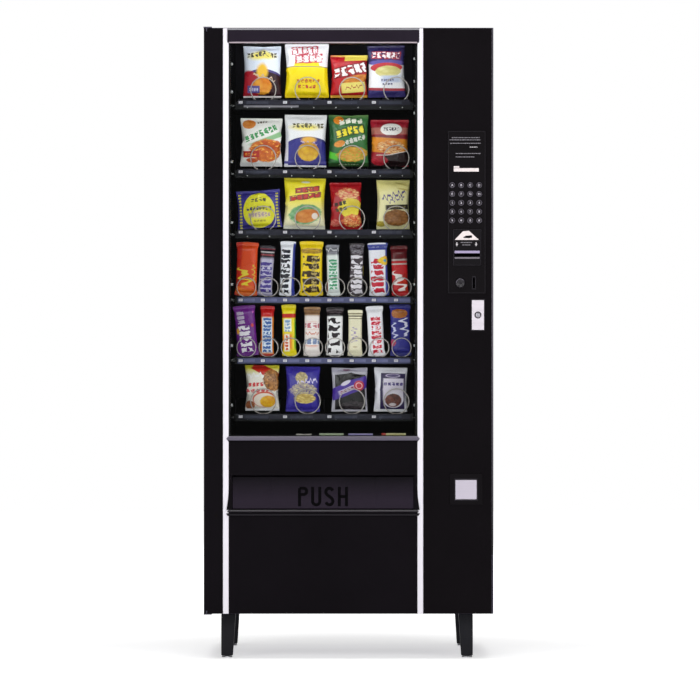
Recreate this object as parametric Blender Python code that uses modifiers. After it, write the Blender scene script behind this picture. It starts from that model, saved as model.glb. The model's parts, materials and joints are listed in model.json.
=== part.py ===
"""A glass-front snack vending machine: steel cabinet on four legs, a full-width hinged door
with window, push flap and control panel, seven sliding trays with turning wire coils,
twenty selection keys and a pop-out lock handle.

Metres, +Z up. The front faces -Y and the origin is on the floor, under the middle of the box.
"""

import math

import bmesh
import bpy
from mathutils import Matrix, Vector

MM = 0.001
GAP = 0.3  # running gap between touching pieces

# ---------------------------------------------------------------- driving dimensions, in mm
HALF_WIDTH = 420.0  # cabinet
TOP_Z = 1829.0
BASE_Z = 128.0  # underside of the cabinet, above the legs
WALL = 12.0
BACK_Y = 452.0
CAB_FRONT_Y = -378.0

DOOR_LEFT, DOOR_RIGHT = -419.0, 413.5
DOOR_BOTTOM, DOOR_TOP = 131.0, 1824.5
DOOR_FRONT_Y, DOOR_BACK_Y = -437.0, -381.0
HINGE_X, HINGE_Y = -411.0, -433.0
PIN_R = 4.0

WIN_L, WIN_R, WIN_B, WIN_T = -347.0, 199.0, 644.0, 1781.0
TRIM_W = 16.6
TRIM_FRONT_Y = -441.0

FLAP_L, FLAP_R, FLAP_B, FLAP_T = -335.5, 187.5, 434.5, 527.5
FLAP_AXIS_Y, FLAP_AXIS_Z = -432.0, 523.0

BIN_L, BIN_R, BIN_B, BIN_T = -340.0, 192.0, 340.0, 525.0
BIN_BACK_Y = -262.0

PANEL_L, PANEL_R = 216.2, 413.5
BEZEL_L, BEZEL_R, BEZEL_B, BEZEL_T = 286.0, 397.0, 1056.5, 1528.5
KEY_X = (299.5, 325.5, 351.5, 377.5)
KEY_Z = (1370.5, 1345.0, 1319.5, 1294.0, 1268.5)
KEY_R = 8.35
BEZEL_FRONT_Y = -443.0

HANDLE_X, HANDLE_Z = 373.7, 995.0
HANDLE_W, HANDLE_H = 35.0, 86.0
HANDLE_FRONT_Y = -452.0

TRAY_L, TRAY_R = -332.0, 188.0
TRAY_FRONT_Y, TRAY_REAR_Y = -285.0, 330.0
TRAY_FLOOR_Z = (1613.0, 1414.0, 1237.0, 1046.0, 870.0, 704.0, 549.0)
TRAY_COLUMNS = (4, 4, 4, 8, 8, 4, 4)
DIVIDER_H = 45.0
SHEET = 2.0
CHIP_COIL = (37.0, 2.0, 40.0, 8)  # wire circle radius, wire radius, axis height, turns
CHIP_COIL_SHIFT = 17.0  # the chip coils sit right of their columns' middles
CANDY_COIL = (28.0, 1.75, 31.0, 15)

LEG_X = (-349.5, 340.0)
LEG_Y = (-335.0, 395.0)

# ---------------------------------------------------------------- clean start and collections
for old in list(bpy.data.objects):
    bpy.data.objects.remove(old, do_unlink=True)

machine = bpy.data.collections.new("snack_vending_machine")
bpy.context.scene.collection.children.link(machine)
guides = bpy.data.collections.new("cutters")
bpy.context.scene.collection.children.link(guides)


# ---------------------------------------------------------------- helpers
def paint(name, colour, rough=0.5, metal=0.0, see=0.0):
    """A plain Principled material."""
    mat = bpy.data.materials.new(name)
    mat.use_nodes = True
    shader = mat.node_tree.nodes["Principled BSDF"]
    shader.inputs["Base Color"].default_value = (*colour, 1.0)
    shader.inputs["Roughness"].default_value = rough
    shader.inputs["Metallic"].default_value = metal
    shader.inputs["Transmission Weight"].default_value = see
    return mat


BLACK = (0.012, 0.010, 0.013)
GREY = (0.07, 0.065, 0.085)
SILVER = (0.80, 0.76, 0.83)


def add_box(bm, lo, hi):
    """One box from its low and high corners, in mm."""
    made = bmesh.ops.create_cube(bm, size=1.0)
    size = Vector([(h - l) * MM for l, h in zip(lo, hi)])
    mid = Vector([(h + l) / 2 * MM for l, h in zip(lo, hi)])
    bmesh.ops.scale(bm, vec=size, verts=made["verts"])
    bmesh.ops.translate(bm, vec=mid, verts=made["verts"])
    return made["verts"]


def add_rod(bm, centre, radius, length, axis="Y", sides=16, radius2=None):
    """One capped cylinder or cone, centred, along the named axis, in mm."""
    turn = {
        "X": Matrix.Rotation(math.pi / 2, 4, "Y"),
        "Y": Matrix.Rotation(math.pi / 2, 4, "X"),
        "Z": Matrix.Identity(4),
    }[axis]
    place = Matrix.Translation(Vector(centre) * MM) @ turn
    bmesh.ops.create_cone(
        bm,
        cap_ends=True,
        segments=sides,
        radius1=radius * MM,
        radius2=(radius if radius2 is None else radius2) * MM,
        depth=length * MM,
        matrix=place,
    )


def new_object(name, bm, origin, collection, mat=None, parent=None):
    """Turn a bmesh in world millimetre-scaled metres into an object with its own origin."""
    here = Vector(origin) * MM
    bmesh.ops.translate(bm, vec=-here, verts=bm.verts)
    mesh = bpy.data.meshes.new(name)
    bm.to_mesh(mesh)
    bm.free()
    obj = bpy.data.objects.new(name, mesh)
    collection.objects.link(obj)
    obj.location = here
    if mat is not None:
        mesh.materials.append(mat)
    if parent is not None:
        obj.parent = parent
        obj.location = here - Vector(parent["axis_point"])
    obj["axis_point"] = list(here)
    return obj


def axis_empty(name, point, parent=None):
    """An empty on a joint's axis."""
    obj = bpy.data.objects.new(name, None)
    machine.objects.link(obj)
    here = Vector(point) * MM
    obj.location = here
    obj.empty_display_size = 0.03
    if parent is not None:
        obj.parent = parent
        obj.location = here - Vector(parent["axis_point"])
    obj["axis_point"] = list(here)
    return obj


def box_piece(name, lo, hi, mat, origin=None, parent=None, bevel=0.0, segments=1):
    bm = bmesh.new()
    add_box(bm, lo, hi)
    mid = origin or [(l + h) / 2 for l, h in zip(lo, hi)]
    obj = new_object(name, bm, mid, machine, mat, parent)
    if bevel:
        round_edges(obj, bevel, segments)
    return obj


def round_edges(obj, width, segments=1):
    mod = obj.modifiers.new("rounded edges", "BEVEL")
    mod.width = width * MM
    mod.segments = segments
    mod.limit_method = "ANGLE"
    mod.angle_limit = math.radians(40)


def shape(obj, kind, boxes=(), rods=()):
    """Cut or join with a hidden set of boxes and rods."""
    bm = bmesh.new()
    for lo, hi in boxes:
        add_box(bm, lo, hi)
    for rod in rods:
        add_rod(bm, **rod)
    tool = new_object(f"{obj.name}.{kind.lower()}.{len(obj.modifiers)}", bm, (0, 0, 0), guides)
    tool.hide_render = True
    tool.display_type = "WIRE"
    mod = obj.modifiers.new(kind.lower(), "BOOLEAN")
    mod.operation = kind
    mod.object = tool
    mod.solver = "EXACT"
    return obj


def turned_piece(name, profile, origin, mat, steps, parent=None):
    """A turned piece facing -Y. The profile runs from the front of the axis round to its back."""
    bm = bmesh.new()
    last = None
    for r, out in profile:
        v = bm.verts.new((r * MM, 0, out * MM))
        if last is not None:
            bm.edges.new((last, v))
        last = v
    obj = new_object(name, bm, (0, 0, 0), machine, mat)
    here = Vector(origin) * MM
    obj.location = here
    obj["axis_point"] = list(here)
    if parent is not None:
        obj.parent = parent
        obj.location = here - Vector(parent["axis_point"])
    obj.rotation_euler = (math.pi / 2, 0, 0)
    mod = obj.modifiers.new("turned", "SCREW")
    mod.axis = "Z"
    mod.steps = mod.render_steps = steps
    mod.use_merge_vertices = True
    mod.merge_threshold = 0.00001
    mod.use_smooth_shade = True
    return obj


def outline_piece(name, points, y_front, y_back, mat, parent=None):
    """A flat outline in X and Z, extruded between two Y planes."""
    curve = bpy.data.curves.new(name, "CURVE")
    curve.dimensions = "2D"
    curve.fill_mode = "BOTH"
    curve.extrude = (y_back - y_front) / 2 * MM
    line = curve.splines.new("POLY")
    mid_x = sum(p[0] for p in points) / len(points)
    mid_z = sum(p[1] for p in points) / len(points)
    line.points.add(len(points) - 1)
    for slot, (x, z) in zip(line.points, points):
        slot.co = ((x - mid_x) * MM, (z - mid_z) * MM, 0, 1)
    line.use_cyclic_u = True
    shape_obj = bpy.data.objects.new(name + ".outline", curve)
    guides.objects.link(shape_obj)
    bpy.context.view_layer.update()
    got = shape_obj.evaluated_get(bpy.context.evaluated_depsgraph_get())
    mesh = bpy.data.meshes.new_from_object(got)
    bpy.data.objects.remove(shape_obj, do_unlink=True)
    bm = bmesh.new()
    bm.from_mesh(mesh)
    bmesh.ops.remove_doubles(bm, verts=bm.verts, dist=1e-6)
    bmesh.ops.recalc_face_normals(bm, faces=bm.faces)
    turn = Matrix.Rotation(math.pi / 2, 4, "X")
    place = Matrix.Translation(Vector((mid_x, (y_front + y_back) / 2, mid_z)) * MM)
    bmesh.ops.transform(bm, matrix=place @ turn, verts=bm.verts)
    bpy.data.meshes.remove(mesh)
    return new_object(name, bm, (mid_x, (y_front + y_back) / 2, mid_z), machine, mat, parent)


# ---------------------------------------------------------------- cabinet, fixed
steel = paint("cabinet_paint", GREY, 0.45, 0.1)
cabinet = box_piece(
    "cabinet_shell", (-HALF_WIDTH, CAB_FRONT_Y, BASE_Z), (HALF_WIDTH, BACK_Y, TOP_Z), steel
)
shape(
    cabinet,
    "DIFFERENCE",
    [((-HALF_WIDTH + WALL, CAB_FRONT_Y - 20, BASE_Z + WALL), (HALF_WIDTH - WALL, BACK_Y - WALL, TOP_Z - WALL))],
)
# hinge brackets over and under the door's hinge corner, with their pins
shape(
    cabinet,
    "UNION",
    [
        ((-HALF_WIDTH, -441.0, DOOR_TOP + 1.0), (-396.0, CAB_FRONT_Y + 4.0, TOP_Z)),
        ((-HALF_WIDTH, -441.0, BASE_Z), (-396.0, CAB_FRONT_Y + 4.0, DOOR_BOTTOM - 0.5)),
    ],
)
shape(
    cabinet,
    "UNION",
    rods=[
        dict(centre=(HINGE_X, HINGE_Y, DOOR_TOP - 3.5), radius=PIN_R, length=11.0, axis="Z", sides=12),
        dict(centre=(HINGE_X, HINGE_Y, DOOR_BOTTOM + 3.5), radius=PIN_R, length=10.0, axis="Z", sides=12),
    ],
)

liner_paint = paint("liner_paint", (0.02, 0.02, 0.023), 0.3)
LINER_L, LINER_R = -353.0, -343.0
PART_L, PART_R = 218.0, 230.0
inner_lo = (CAB_FRONT_Y + 6.0, BASE_Z + WALL + GAP)
inner_hi = (BACK_Y - WALL - GAP, TOP_Z - WALL - GAP)
liner = box_piece(
    "liner_left", (LINER_L, inner_lo[0], inner_lo[1]), (LINER_R, inner_hi[0], inner_hi[1]), liner_paint
)
shape(
    liner,
    "UNION",
    [
        ((LINER_R - 4, TRAY_FRONT_Y + 6, z - SHEET - GAP - 8), (TRAY_L + 12, TRAY_REAR_Y, z - SHEET - GAP))
        for z in TRAY_FLOOR_Z
    ],
)
# the partition stands in line with the window above the delivery bin, and steps out past the bin below
STEP_Z = 533.0
UPPER_L, UPPER_R = 193.0, 205.0
partition = box_piece(
    "inner_partition",
    (PART_L, inner_lo[0], inner_lo[1]),
    (PART_R, inner_hi[0], STEP_Z + 10),
    paint("partition_paint", (0.02, 0.02, 0.023), 0.3),
)
shape(partition, "UNION", [((UPPER_L, inner_lo[0], STEP_Z), (PART_R - 2, inner_hi[0], STEP_Z + 10))])
shape(partition, "UNION", [((UPPER_L, inner_lo[0], STEP_Z + 2), (UPPER_R, inner_hi[0], inner_hi[1]))])
shape(
    partition,
    "UNION",
    [
        ((TRAY_R - 12, TRAY_FRONT_Y + 6, z - SHEET - GAP - 8), (UPPER_L + 4, TRAY_REAR_Y, z - SHEET - GAP))
        for z in TRAY_FLOOR_Z
    ],
)


def leg(name, x, y, outward):
    """A tapered leg: upright outer side, slanted inner side, with its round glide."""
    bm = bmesh.new()
    half, depth = 21.0, 21.0
    verts = add_box(bm, (x - half, y - depth, 7.0), (x + half, y + depth, BASE_Z - GAP))
    for v in verts:
        if v.co.z < 0.05:
            if (v.co.x - x * MM) * outward < 0:
                v.co.x += outward * 8.0 * MM
            v.co.y = y * MM + (v.co.y - y * MM) * 0.82
    obj = new_object(name, bm, (x, y, BASE_Z), machine, paint(name + "_paint", (0.02, 0.02, 0.022), 0.5))
    foot_x = x + outward * 4.0
    shape(
        obj,
        "UNION",
        rods=[dict(centre=(foot_x, y, 4.5), radius=15.0, length=9.0, axis="Z", sides=16)],
    )
    return obj


leg("leg_front_left", LEG_X[0], LEG_Y[0], -1)
leg("leg_front_right", LEG_X[1], LEG_Y[0], 1)
leg("leg_rear_left", LEG_X[0], LEG_Y[1], -1)
leg("leg_rear_right", LEG_X[1], LEG_Y[1], 1)

# ---------------------------------------------------------------- door and what is fixed to it
hinge = axis_empty("door_axis", (HINGE_X, HINGE_Y, DOOR_BOTTOM))
door = box_piece(
    "door_frame",
    (DOOR_LEFT, DOOR_FRONT_Y, DOOR_BOTTOM),
    (DOOR_RIGHT, DOOR_BACK_Y, DOOR_TOP),
    paint("door_paint", BLACK, 0.4),
    origin=(HINGE_X, HINGE_Y, DOOR_BOTTOM),
    parent=hinge,
)
shape(
    door,
    "DIFFERENCE",
    [
        ((WIN_L, DOOR_FRONT_Y - 10, WIN_B), (WIN_R, DOOR_BACK_Y + 10, WIN_T)),
        ((-337.0, DOOR_FRONT_Y - 10, 415.0), (189.0, DOOR_BACK_Y + 10, 531.0)),
        ((-330.0, DOOR_FRONT_Y - 10, 152.0), (182.0, DOOR_BACK_Y + 10, 392.0)),
        ((222.0, DOOR_FRONT_Y - 10, 146.0), (404.0, DOOR_BACK_Y + 10, 1810.0)),
    ],
    rods=[
        dict(centre=(HINGE_X, HINGE_Y, DOOR_TOP), radius=PIN_R + 0.4, length=24.0, axis="Z", sides=12),
        dict(centre=(HINGE_X, HINGE_Y, DOOR_BOTTOM), radius=PIN_R + 0.4, length=24.0, axis="Z", sides=12),
    ],
)

window = box_piece(
    "window_glass",
    (WIN_L + GAP, -429.0, WIN_B + GAP),
    (WIN_R - GAP, -424.0, WIN_T - GAP),
    paint("window", (0.9, 0.93, 0.95), 0.02, 0.0, 1.0),
    parent=hinge,
)

anodised = paint("bright_trim", SILVER, 0.3, 0.7)
for name, left in (("left_trim", WIN_L - TRIM_W), ("right_trim", WIN_R)):
    box_piece(
        name,
        (left, TRIM_FRONT_Y, DOOR_BOTTOM),
        (left + TRIM_W, DOOR_FRONT_Y - GAP, DOOR_TOP),
        anodised if name == "left_trim" else paint("bright_trim_right", SILVER, 0.3, 0.7),
        parent=hinge,
        bevel=1.0,
    )

header = box_piece(
    "header_panel",
    (-351.0, -444.0, 1782.6),
    (204.0, TRIM_FRONT_Y - GAP, 1820.0),
    paint("header_paint", (0.02, 0.016, 0.026), 0.35),
    parent=hinge,
)
shape(header, "UNION", [((WIN_L + GAP, -443.0, 1783.5), (WIN_R - GAP, DOOR_FRONT_Y - GAP, 1819.0))])

sill = outline_piece(
    "window_sill",
    [(-356.0, 636.0), (-346.0, 628.0), (198.0, 628.0), (208.0, 636.0), (198.0, 644.0), (-346.0, 644.0)],
    -446.0,
    TRIM_FRONT_Y - GAP,
    paint("sill_metal", (0.30, 0.27, 0.33), 0.35, 0.5),
    parent=hinge,
)
shape(sill, "UNION", [((WIN_L + GAP, -444.0, 628.3), (WIN_R - GAP, DOOR_FRONT_Y - GAP, 643.7))])

fascia = box_piece(
    "fascia_panel",
    (WIN_L + GAP, -440.0, 531.0),
    (WIN_R - GAP, DOOR_FRONT_Y - GAP, 628.0),
    paint("fascia_paint", BLACK, 0.35),
    parent=hinge,
)

# the lower panel carries the delivery lip, a bar with pointed ends, along its top
lower = outline_piece(
    "lower_panel",
    [(-356.0, 422.0), (-346.0, 414.0), (198.0, 414.0), (208.0, 422.0), (198.0, 431.5), (-346.0, 431.5)],
    -445.0,
    TRIM_FRONT_Y - GAP,
    paint("lower_paint", BLACK, 0.35),
    parent=hinge,
)
shape(lower, "UNION", [((WIN_L + GAP, -444.0, 414.3), (WIN_R - GAP, DOOR_FRONT_Y - GAP, 431.2))])
shape(lower, "UNION", [((WIN_L + GAP, -440.0, DOOR_BOTTOM), (WIN_R - GAP, DOOR_FRONT_Y - GAP, 416.0))])

delivery_bin = box_piece(
    "delivery_bin",
    (BIN_L, DOOR_BACK_Y + GAP, BIN_B),
    (BIN_R, BIN_BACK_Y, BIN_T),
    paint("bin_plastic", (0.02, 0.02, 0.022), 0.5),
    parent=hinge,
)
shape(
    delivery_bin,
    "DIFFERENCE",
    [((BIN_L + 3, DOOR_BACK_Y + 3.3, BIN_B + 3), (BIN_R - 3, BIN_BACK_Y - 3, BIN_T + 10))],
)
shape(
    delivery_bin,
    "DIFFERENCE",
    [((BIN_L + 3, DOOR_BACK_Y - 10, 418.0), (BIN_R - 3, DOOR_BACK_Y + 20, BIN_T + 12))],
)

control = box_piece(
    "control_panel",
    (PANEL_L, -440.5, DOOR_BOTTOM),
    (PANEL_R, DOOR_FRONT_Y - GAP, DOOR_TOP),
    paint("control_paint", BLACK, 0.35),
    parent=hinge,
)
shape(
    control,
    "DIFFERENCE",
    [
        ((289.0, -460.0, 1059.5), (394.0, -420.0, 1525.5)),
        ((303.7, -460.0, 454.7), (374.3, -420.0, 524.3)),
    ],
    rods=[dict(centre=(HANDLE_X, -439.0, HANDLE_Z), radius=14.2, length=30.0, sides=16)],
)

bezel = box_piece(
    "selection_bezel",
    (BEZEL_L, BEZEL_FRONT_Y, BEZEL_B),
    (BEZEL_R, -440.8, BEZEL_T),
    paint("bezel_plastic", (0.015, 0.013, 0.016), 0.35),
    parent=hinge,
)
shape(bezel, "UNION", [((289.3, -442.0, 1059.8), (393.7, -428.0, 1525.2))])
key_holes = [
    dict(centre=(x, -441.5, z), radius=KEY_R + 0.4, length=20.0, sides=12) for z in KEY_Z for x in KEY_X
]
BUTTON_X, BUTTON_Z, BUTTON_R = 322.8, 1087.6, 14.0
SLOT_X = 362.3
shape(
    bezel,
    "DIFFERENCE",
    [
        ((302.0, -460.0, 1138.0), (383.5, -410.0, 1243.0)),
        ((SLOT_X - 2.6, -460.0, 1072.0), (SLOT_X + 2.6, -410.0, 1104.0)),
    ],
    rods=key_holes
    + [dict(centre=(BUTTON_X, -436.0, BUTTON_Z), radius=BUTTON_R + 0.4, length=40.0, sides=16)],
)

validator = box_piece(
    "bill_validator",
    (302.3, -445.0, 1138.3),
    (383.2, -330.0, 1242.7),
    paint("validator_plastic", (0.02, 0.018, 0.024), 0.35),
    parent=hinge,
)
shape(validator, "DIFFERENCE", [((307.0, -460.0, 1163.0), (378.5, -372.0, 1173.0))])

cup = box_piece(
    "coin_cup",
    (292.0, -443.5, 446.0),
    (388.0, -440.8, 536.0),
    paint("cup_plastic", (0.02, 0.018, 0.022), 0.35),
    parent=hinge,
)
shape(cup, "UNION", [((304.0, -442.0, 455.0), (374.0, -385.0, 524.0))])
shape(cup, "DIFFERENCE", [((307.6, -460.0, 460.0), (371.4, -389.0, 520.0))])

# ---------------------------------------------------------------- moving pieces on the door
flap_axis = axis_empty("delivery_flap_axis", ((FLAP_L + FLAP_R) / 2, FLAP_AXIS_Y, FLAP_AXIS_Z), hinge)
box_piece(
    "delivery_flap",
    (FLAP_L, -438.0, FLAP_B),
    (FLAP_R, -430.0, FLAP_T),
    paint("flap_plastic", (0.034, 0.026, 0.038), 0.4),
    origin=((FLAP_L + FLAP_R) / 2, FLAP_AXIS_Y, FLAP_AXIS_Z),
    parent=flap_axis,
    bevel=1.5,
)

GUARD_Y, GUARD_Z = -270.0, 519.0
guard_axis = axis_empty("anti_theft_flap_axis", ((BIN_L + BIN_R) / 2, GUARD_Y, GUARD_Z), hinge)
box_piece(
    "anti_theft_flap",
    (BIN_L + 4.5, GUARD_Y - 1.5, 446.0),
    (BIN_R - 4.5, GUARD_Y + 1.5, 520.5),
    paint("guard_steel", (0.45, 0.45, 0.47), 0.35, 0.6),
    origin=((BIN_L + BIN_R) / 2, GUARD_Y, GUARD_Z),
    parent=guard_axis,
)

bm = bmesh.new()
add_rod(bm, (HANDLE_X, (-444.3 - 392.0) / 2, HANDLE_Z), 13.5, 444.3 - 392.0, "Y", 16)
new_object(
    "handle_barrel", bm, (HANDLE_X, -440.0, HANDLE_Z), machine, paint("barrel_zinc", (0.5, 0.49, 0.52), 0.35, 0.8), hinge
)
box_piece(
    "lock_handle",
    (HANDLE_X - HANDLE_W / 2, HANDLE_FRONT_Y, HANDLE_Z - HANDLE_H / 2),
    (HANDLE_X + HANDLE_W / 2, -444.6, HANDLE_Z + HANDLE_H / 2),
    paint("handle_chrome", (0.78, 0.74, 0.80), 0.25, 0.9),
    origin=(HANDLE_X, -444.6, HANDLE_Z),
    parent=hinge,
    bevel=2.0,
    segments=2,
)

turned_piece(
    "coin_return_button",
    [(0, 13.6), (BUTTON_R - 4.0, 13.0), (BUTTON_R - 1.0, 11.5), (BUTTON_R, 9.5), (BUTTON_R, 0), (0, 0)],
    (BUTTON_X, -434.0, BUTTON_Z),
    paint("return_button_plastic", (0.03, 0.027, 0.034), 0.3),
    16,
    hinge,
)

CUP_AXIS_Y, CUP_AXIS_Z = -440.0, 516.0
cup_axis = axis_empty("coin_cup_flap_axis", (339.5, CUP_AXIS_Y, CUP_AXIS_Z), hinge)
box_piece(
    "coin_cup_flap",
    (308.6, -442.4, 461.8),
    (370.4, -440.0, 518.2),
    paint("cup_flap_steel", (0.70, 0.67, 0.74), 0.3, 0.9),
    origin=(339.5, CUP_AXIS_Y, CUP_AXIS_Z),
    parent=cup_axis,
    bevel=0.6,
)

for row, z in enumerate(KEY_Z, 1):
    for column, x in enumerate(KEY_X, 1):
        turned_piece(
            f"key_{row}_{column}",
            [(0, 12.8), (KEY_R - 2.6, 12.2), (KEY_R, 9.6), (KEY_R, 0), (0, 0)],
            (x, -434.0, z),
            paint(f"key_{row}_{column}_plastic", (0.05, 0.045, 0.055), 0.3),
            12,
            hinge,
        )


# ---------------------------------------------------------------- trays and coils
def coil_axis(floor_z, columns):
    """X and Z of the first coil's axis."""
    inner_l = TRAY_L + SHEET
    pitch = (TRAY_R - inner_l) / columns
    shift, height = (CHIP_COIL_SHIFT, CHIP_COIL[2]) if columns == 4 else (0.0, CANDY_COIL[2])
    return inner_l + (pitch - SHEET) / 2 + shift, floor_z + height


def tray(number, floor_z, columns):
    """A sheet-metal tray: floor, front lip, sides, back and the dividers between its columns."""
    inner_l, inner_r = TRAY_L + SHEET, TRAY_R - SHEET
    pitch = (inner_r - inner_l + SHEET) / columns
    obj = box_piece(
        f"tray_{number}",
        (TRAY_L, TRAY_FRONT_Y, floor_z - SHEET),
        (TRAY_R, TRAY_REAR_Y, floor_z + DIVIDER_H),
        paint(f"tray_{number}_paint", (0.05, 0.05, 0.055), 0.45, 0.2),
        origin=((TRAY_L + TRAY_R) / 2, TRAY_FRONT_Y, floor_z),
    )
    axis_x, axis_z = coil_axis(floor_z, columns)
    cuts = []
    for i in range(columns):
        left = inner_l + i * pitch
        cuts.append(
            ((left, TRAY_FRONT_Y + 2.5, floor_z), (left + pitch - SHEET, TRAY_REAR_Y - 3.0, floor_z + DIVIDER_H + 10))
        )
    shape(obj, "DIFFERENCE", cuts)
    # the front is cut down to a low lip that also hangs below the floor
    shape(
        obj,
        "DIFFERENCE",
        [((TRAY_L - 5, TRAY_FRONT_Y - 5, floor_z + 4.0), (TRAY_R + 5, TRAY_FRONT_Y + 12.0, floor_z + DIVIDER_H + 15))],
        rods=[
            dict(
                centre=(axis_x, TRAY_REAR_Y, axis_z),
                radius=3.4,
                length=30.0,
                sides=8,
            )
        ],
    )
    shape(
        obj,
        "UNION",
        [((TRAY_L + 0.5, TRAY_FRONT_Y, floor_z - 18.0), (TRAY_R - 0.5, TRAY_FRONT_Y + 2.5, floor_z + 3.5))],
    )
    return obj


def coil(number, floor_z, columns, holder):
    """A wire coil lying in the tray's first column, its rear end bent in to the drive shaft."""
    ring, wire, height, turns = CHIP_COIL if columns == 4 else CANDY_COIL
    axis_x, axis_z = coil_axis(floor_z, columns)
    centre = Vector((axis_x, 0, axis_z))
    start, end = TRAY_FRONT_Y + 6.0, TRAY_REAR_Y - 30.0
    # the first turn is pressed flat and holds the front item back, then the wire steps under that item
    flat, step = (5.0, 50.0) if columns == 4 else (4.0, 27.0)
    per_turn = 8
    points = []
    count = turns * per_turn
    for i in range(count + 1):
        angle = -math.pi / 2 + 2 * math.pi * i / per_turn
        if i <= per_turn:
            y = start + flat * i / per_turn
        else:
            y = start + step + (end - start - step) * (i - per_turn - 1) / (count - per_turn - 1)
        points.append((ring * math.cos(angle), y, ring * math.sin(angle)))
    last = points[-1]
    for share, on in ((0.55, 5.0), (0.16, 8.0), (0.0, 13.0)):
        points.append((last[0] * share, end + on, last[2] * share))
    points.append((0.0, TRAY_REAR_Y + 12.0, 0.0))
    curve = bpy.data.curves.new(f"coil_{number}", "CURVE")
    curve.dimensions = "3D"
    curve.bevel_depth = wire * MM
    curve.bevel_resolution = 0
    curve.use_fill_caps = True
    line = curve.splines.new("POLY")
    line.points.add(len(points) - 1)
    for slot, p in zip(line.points, points):
        slot.co = (p[0] * MM, p[1] * MM, p[2] * MM, 1)
    curve.materials.append(paint(f"coil_{number}_steel", (0.55, 0.54, 0.56), 0.25, 0.9))
    obj = bpy.data.objects.new(f"coil_{number}", curve)
    machine.objects.link(obj)
    obj.parent = holder
    obj.location = centre * MM - Vector(holder["axis_point"])
    return obj


for number, (floor_z, columns) in enumerate(zip(TRAY_FLOOR_Z, TRAY_COLUMNS), 1):
    holder = tray(number, floor_z, columns)
    coil(number, floor_z, columns, holder)
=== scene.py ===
import json
import math
import random

import bmesh
import bpy
import numpy as np
from mathutils import Matrix, Vector, noise


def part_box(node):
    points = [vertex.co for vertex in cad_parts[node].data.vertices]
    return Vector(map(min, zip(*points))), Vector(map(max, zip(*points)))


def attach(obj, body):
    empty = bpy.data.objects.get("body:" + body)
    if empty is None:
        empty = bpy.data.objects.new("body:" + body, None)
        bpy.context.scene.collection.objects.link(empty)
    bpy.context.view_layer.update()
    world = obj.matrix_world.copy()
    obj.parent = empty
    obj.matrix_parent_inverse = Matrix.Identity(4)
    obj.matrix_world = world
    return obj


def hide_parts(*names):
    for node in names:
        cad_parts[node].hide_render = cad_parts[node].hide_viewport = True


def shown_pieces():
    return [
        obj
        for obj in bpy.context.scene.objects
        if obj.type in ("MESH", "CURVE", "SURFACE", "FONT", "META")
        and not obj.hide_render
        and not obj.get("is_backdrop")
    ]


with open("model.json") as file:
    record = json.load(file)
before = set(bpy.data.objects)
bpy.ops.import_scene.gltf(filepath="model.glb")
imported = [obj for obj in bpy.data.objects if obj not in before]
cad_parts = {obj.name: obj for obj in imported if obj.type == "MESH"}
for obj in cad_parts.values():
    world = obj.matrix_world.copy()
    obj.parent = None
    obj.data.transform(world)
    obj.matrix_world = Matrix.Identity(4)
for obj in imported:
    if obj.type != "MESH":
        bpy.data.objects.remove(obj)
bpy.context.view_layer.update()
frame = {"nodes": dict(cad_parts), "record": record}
NODES = frame["nodes"]
BODIES = frame["record"]["behaviour"]["bodies"]
BODY_OF = {n: b for b, ns in BODIES.items() for n in ns}
MM = 0.001

# Layout, in mm, the same numbers the CAD uses
TRAY_L, TRAY_R = -332.0, 188.0
TRAY_FRONT_Y, TRAY_REAR_Y = -285.0, 330.0
FLOORS = (1613.0, 1414.0, 1237.0, 1046.0, 870.0, 704.0, 549.0)
COLUMNS = (4, 4, 4, 8, 8, 4, 4)
TAG_Z = (1616.0, 1413.5, 1237.5, 1039.5, 862.5, 699.0, 544.0)
CHIP = dict(ring=37.0, wire=2.0, height=40.0, turns=8, flat=5.0, step=50.0, shift=17.0)
CANDY = dict(ring=28.0, wire=1.75, height=31.0, turns=15, flat=4.0, step=27.0, shift=0.0)
KEY_X = (299.5, 325.5, 351.5, 377.5)
KEY_Z = (1370.5, 1345.0, 1319.5, 1294.0, 1268.5)


# ------------------------------------------------------------------ materials
def rgb(hexa, k=1.0):
    out = []
    for i in (0, 2, 4):
        c = int(hexa[i : i + 2], 16) / 255
        out.append(k * (c / 12.92 if c <= 0.04045 else ((c + 0.055) / 1.055) ** 2.4))
    return tuple(out) + (1.0,)


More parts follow.
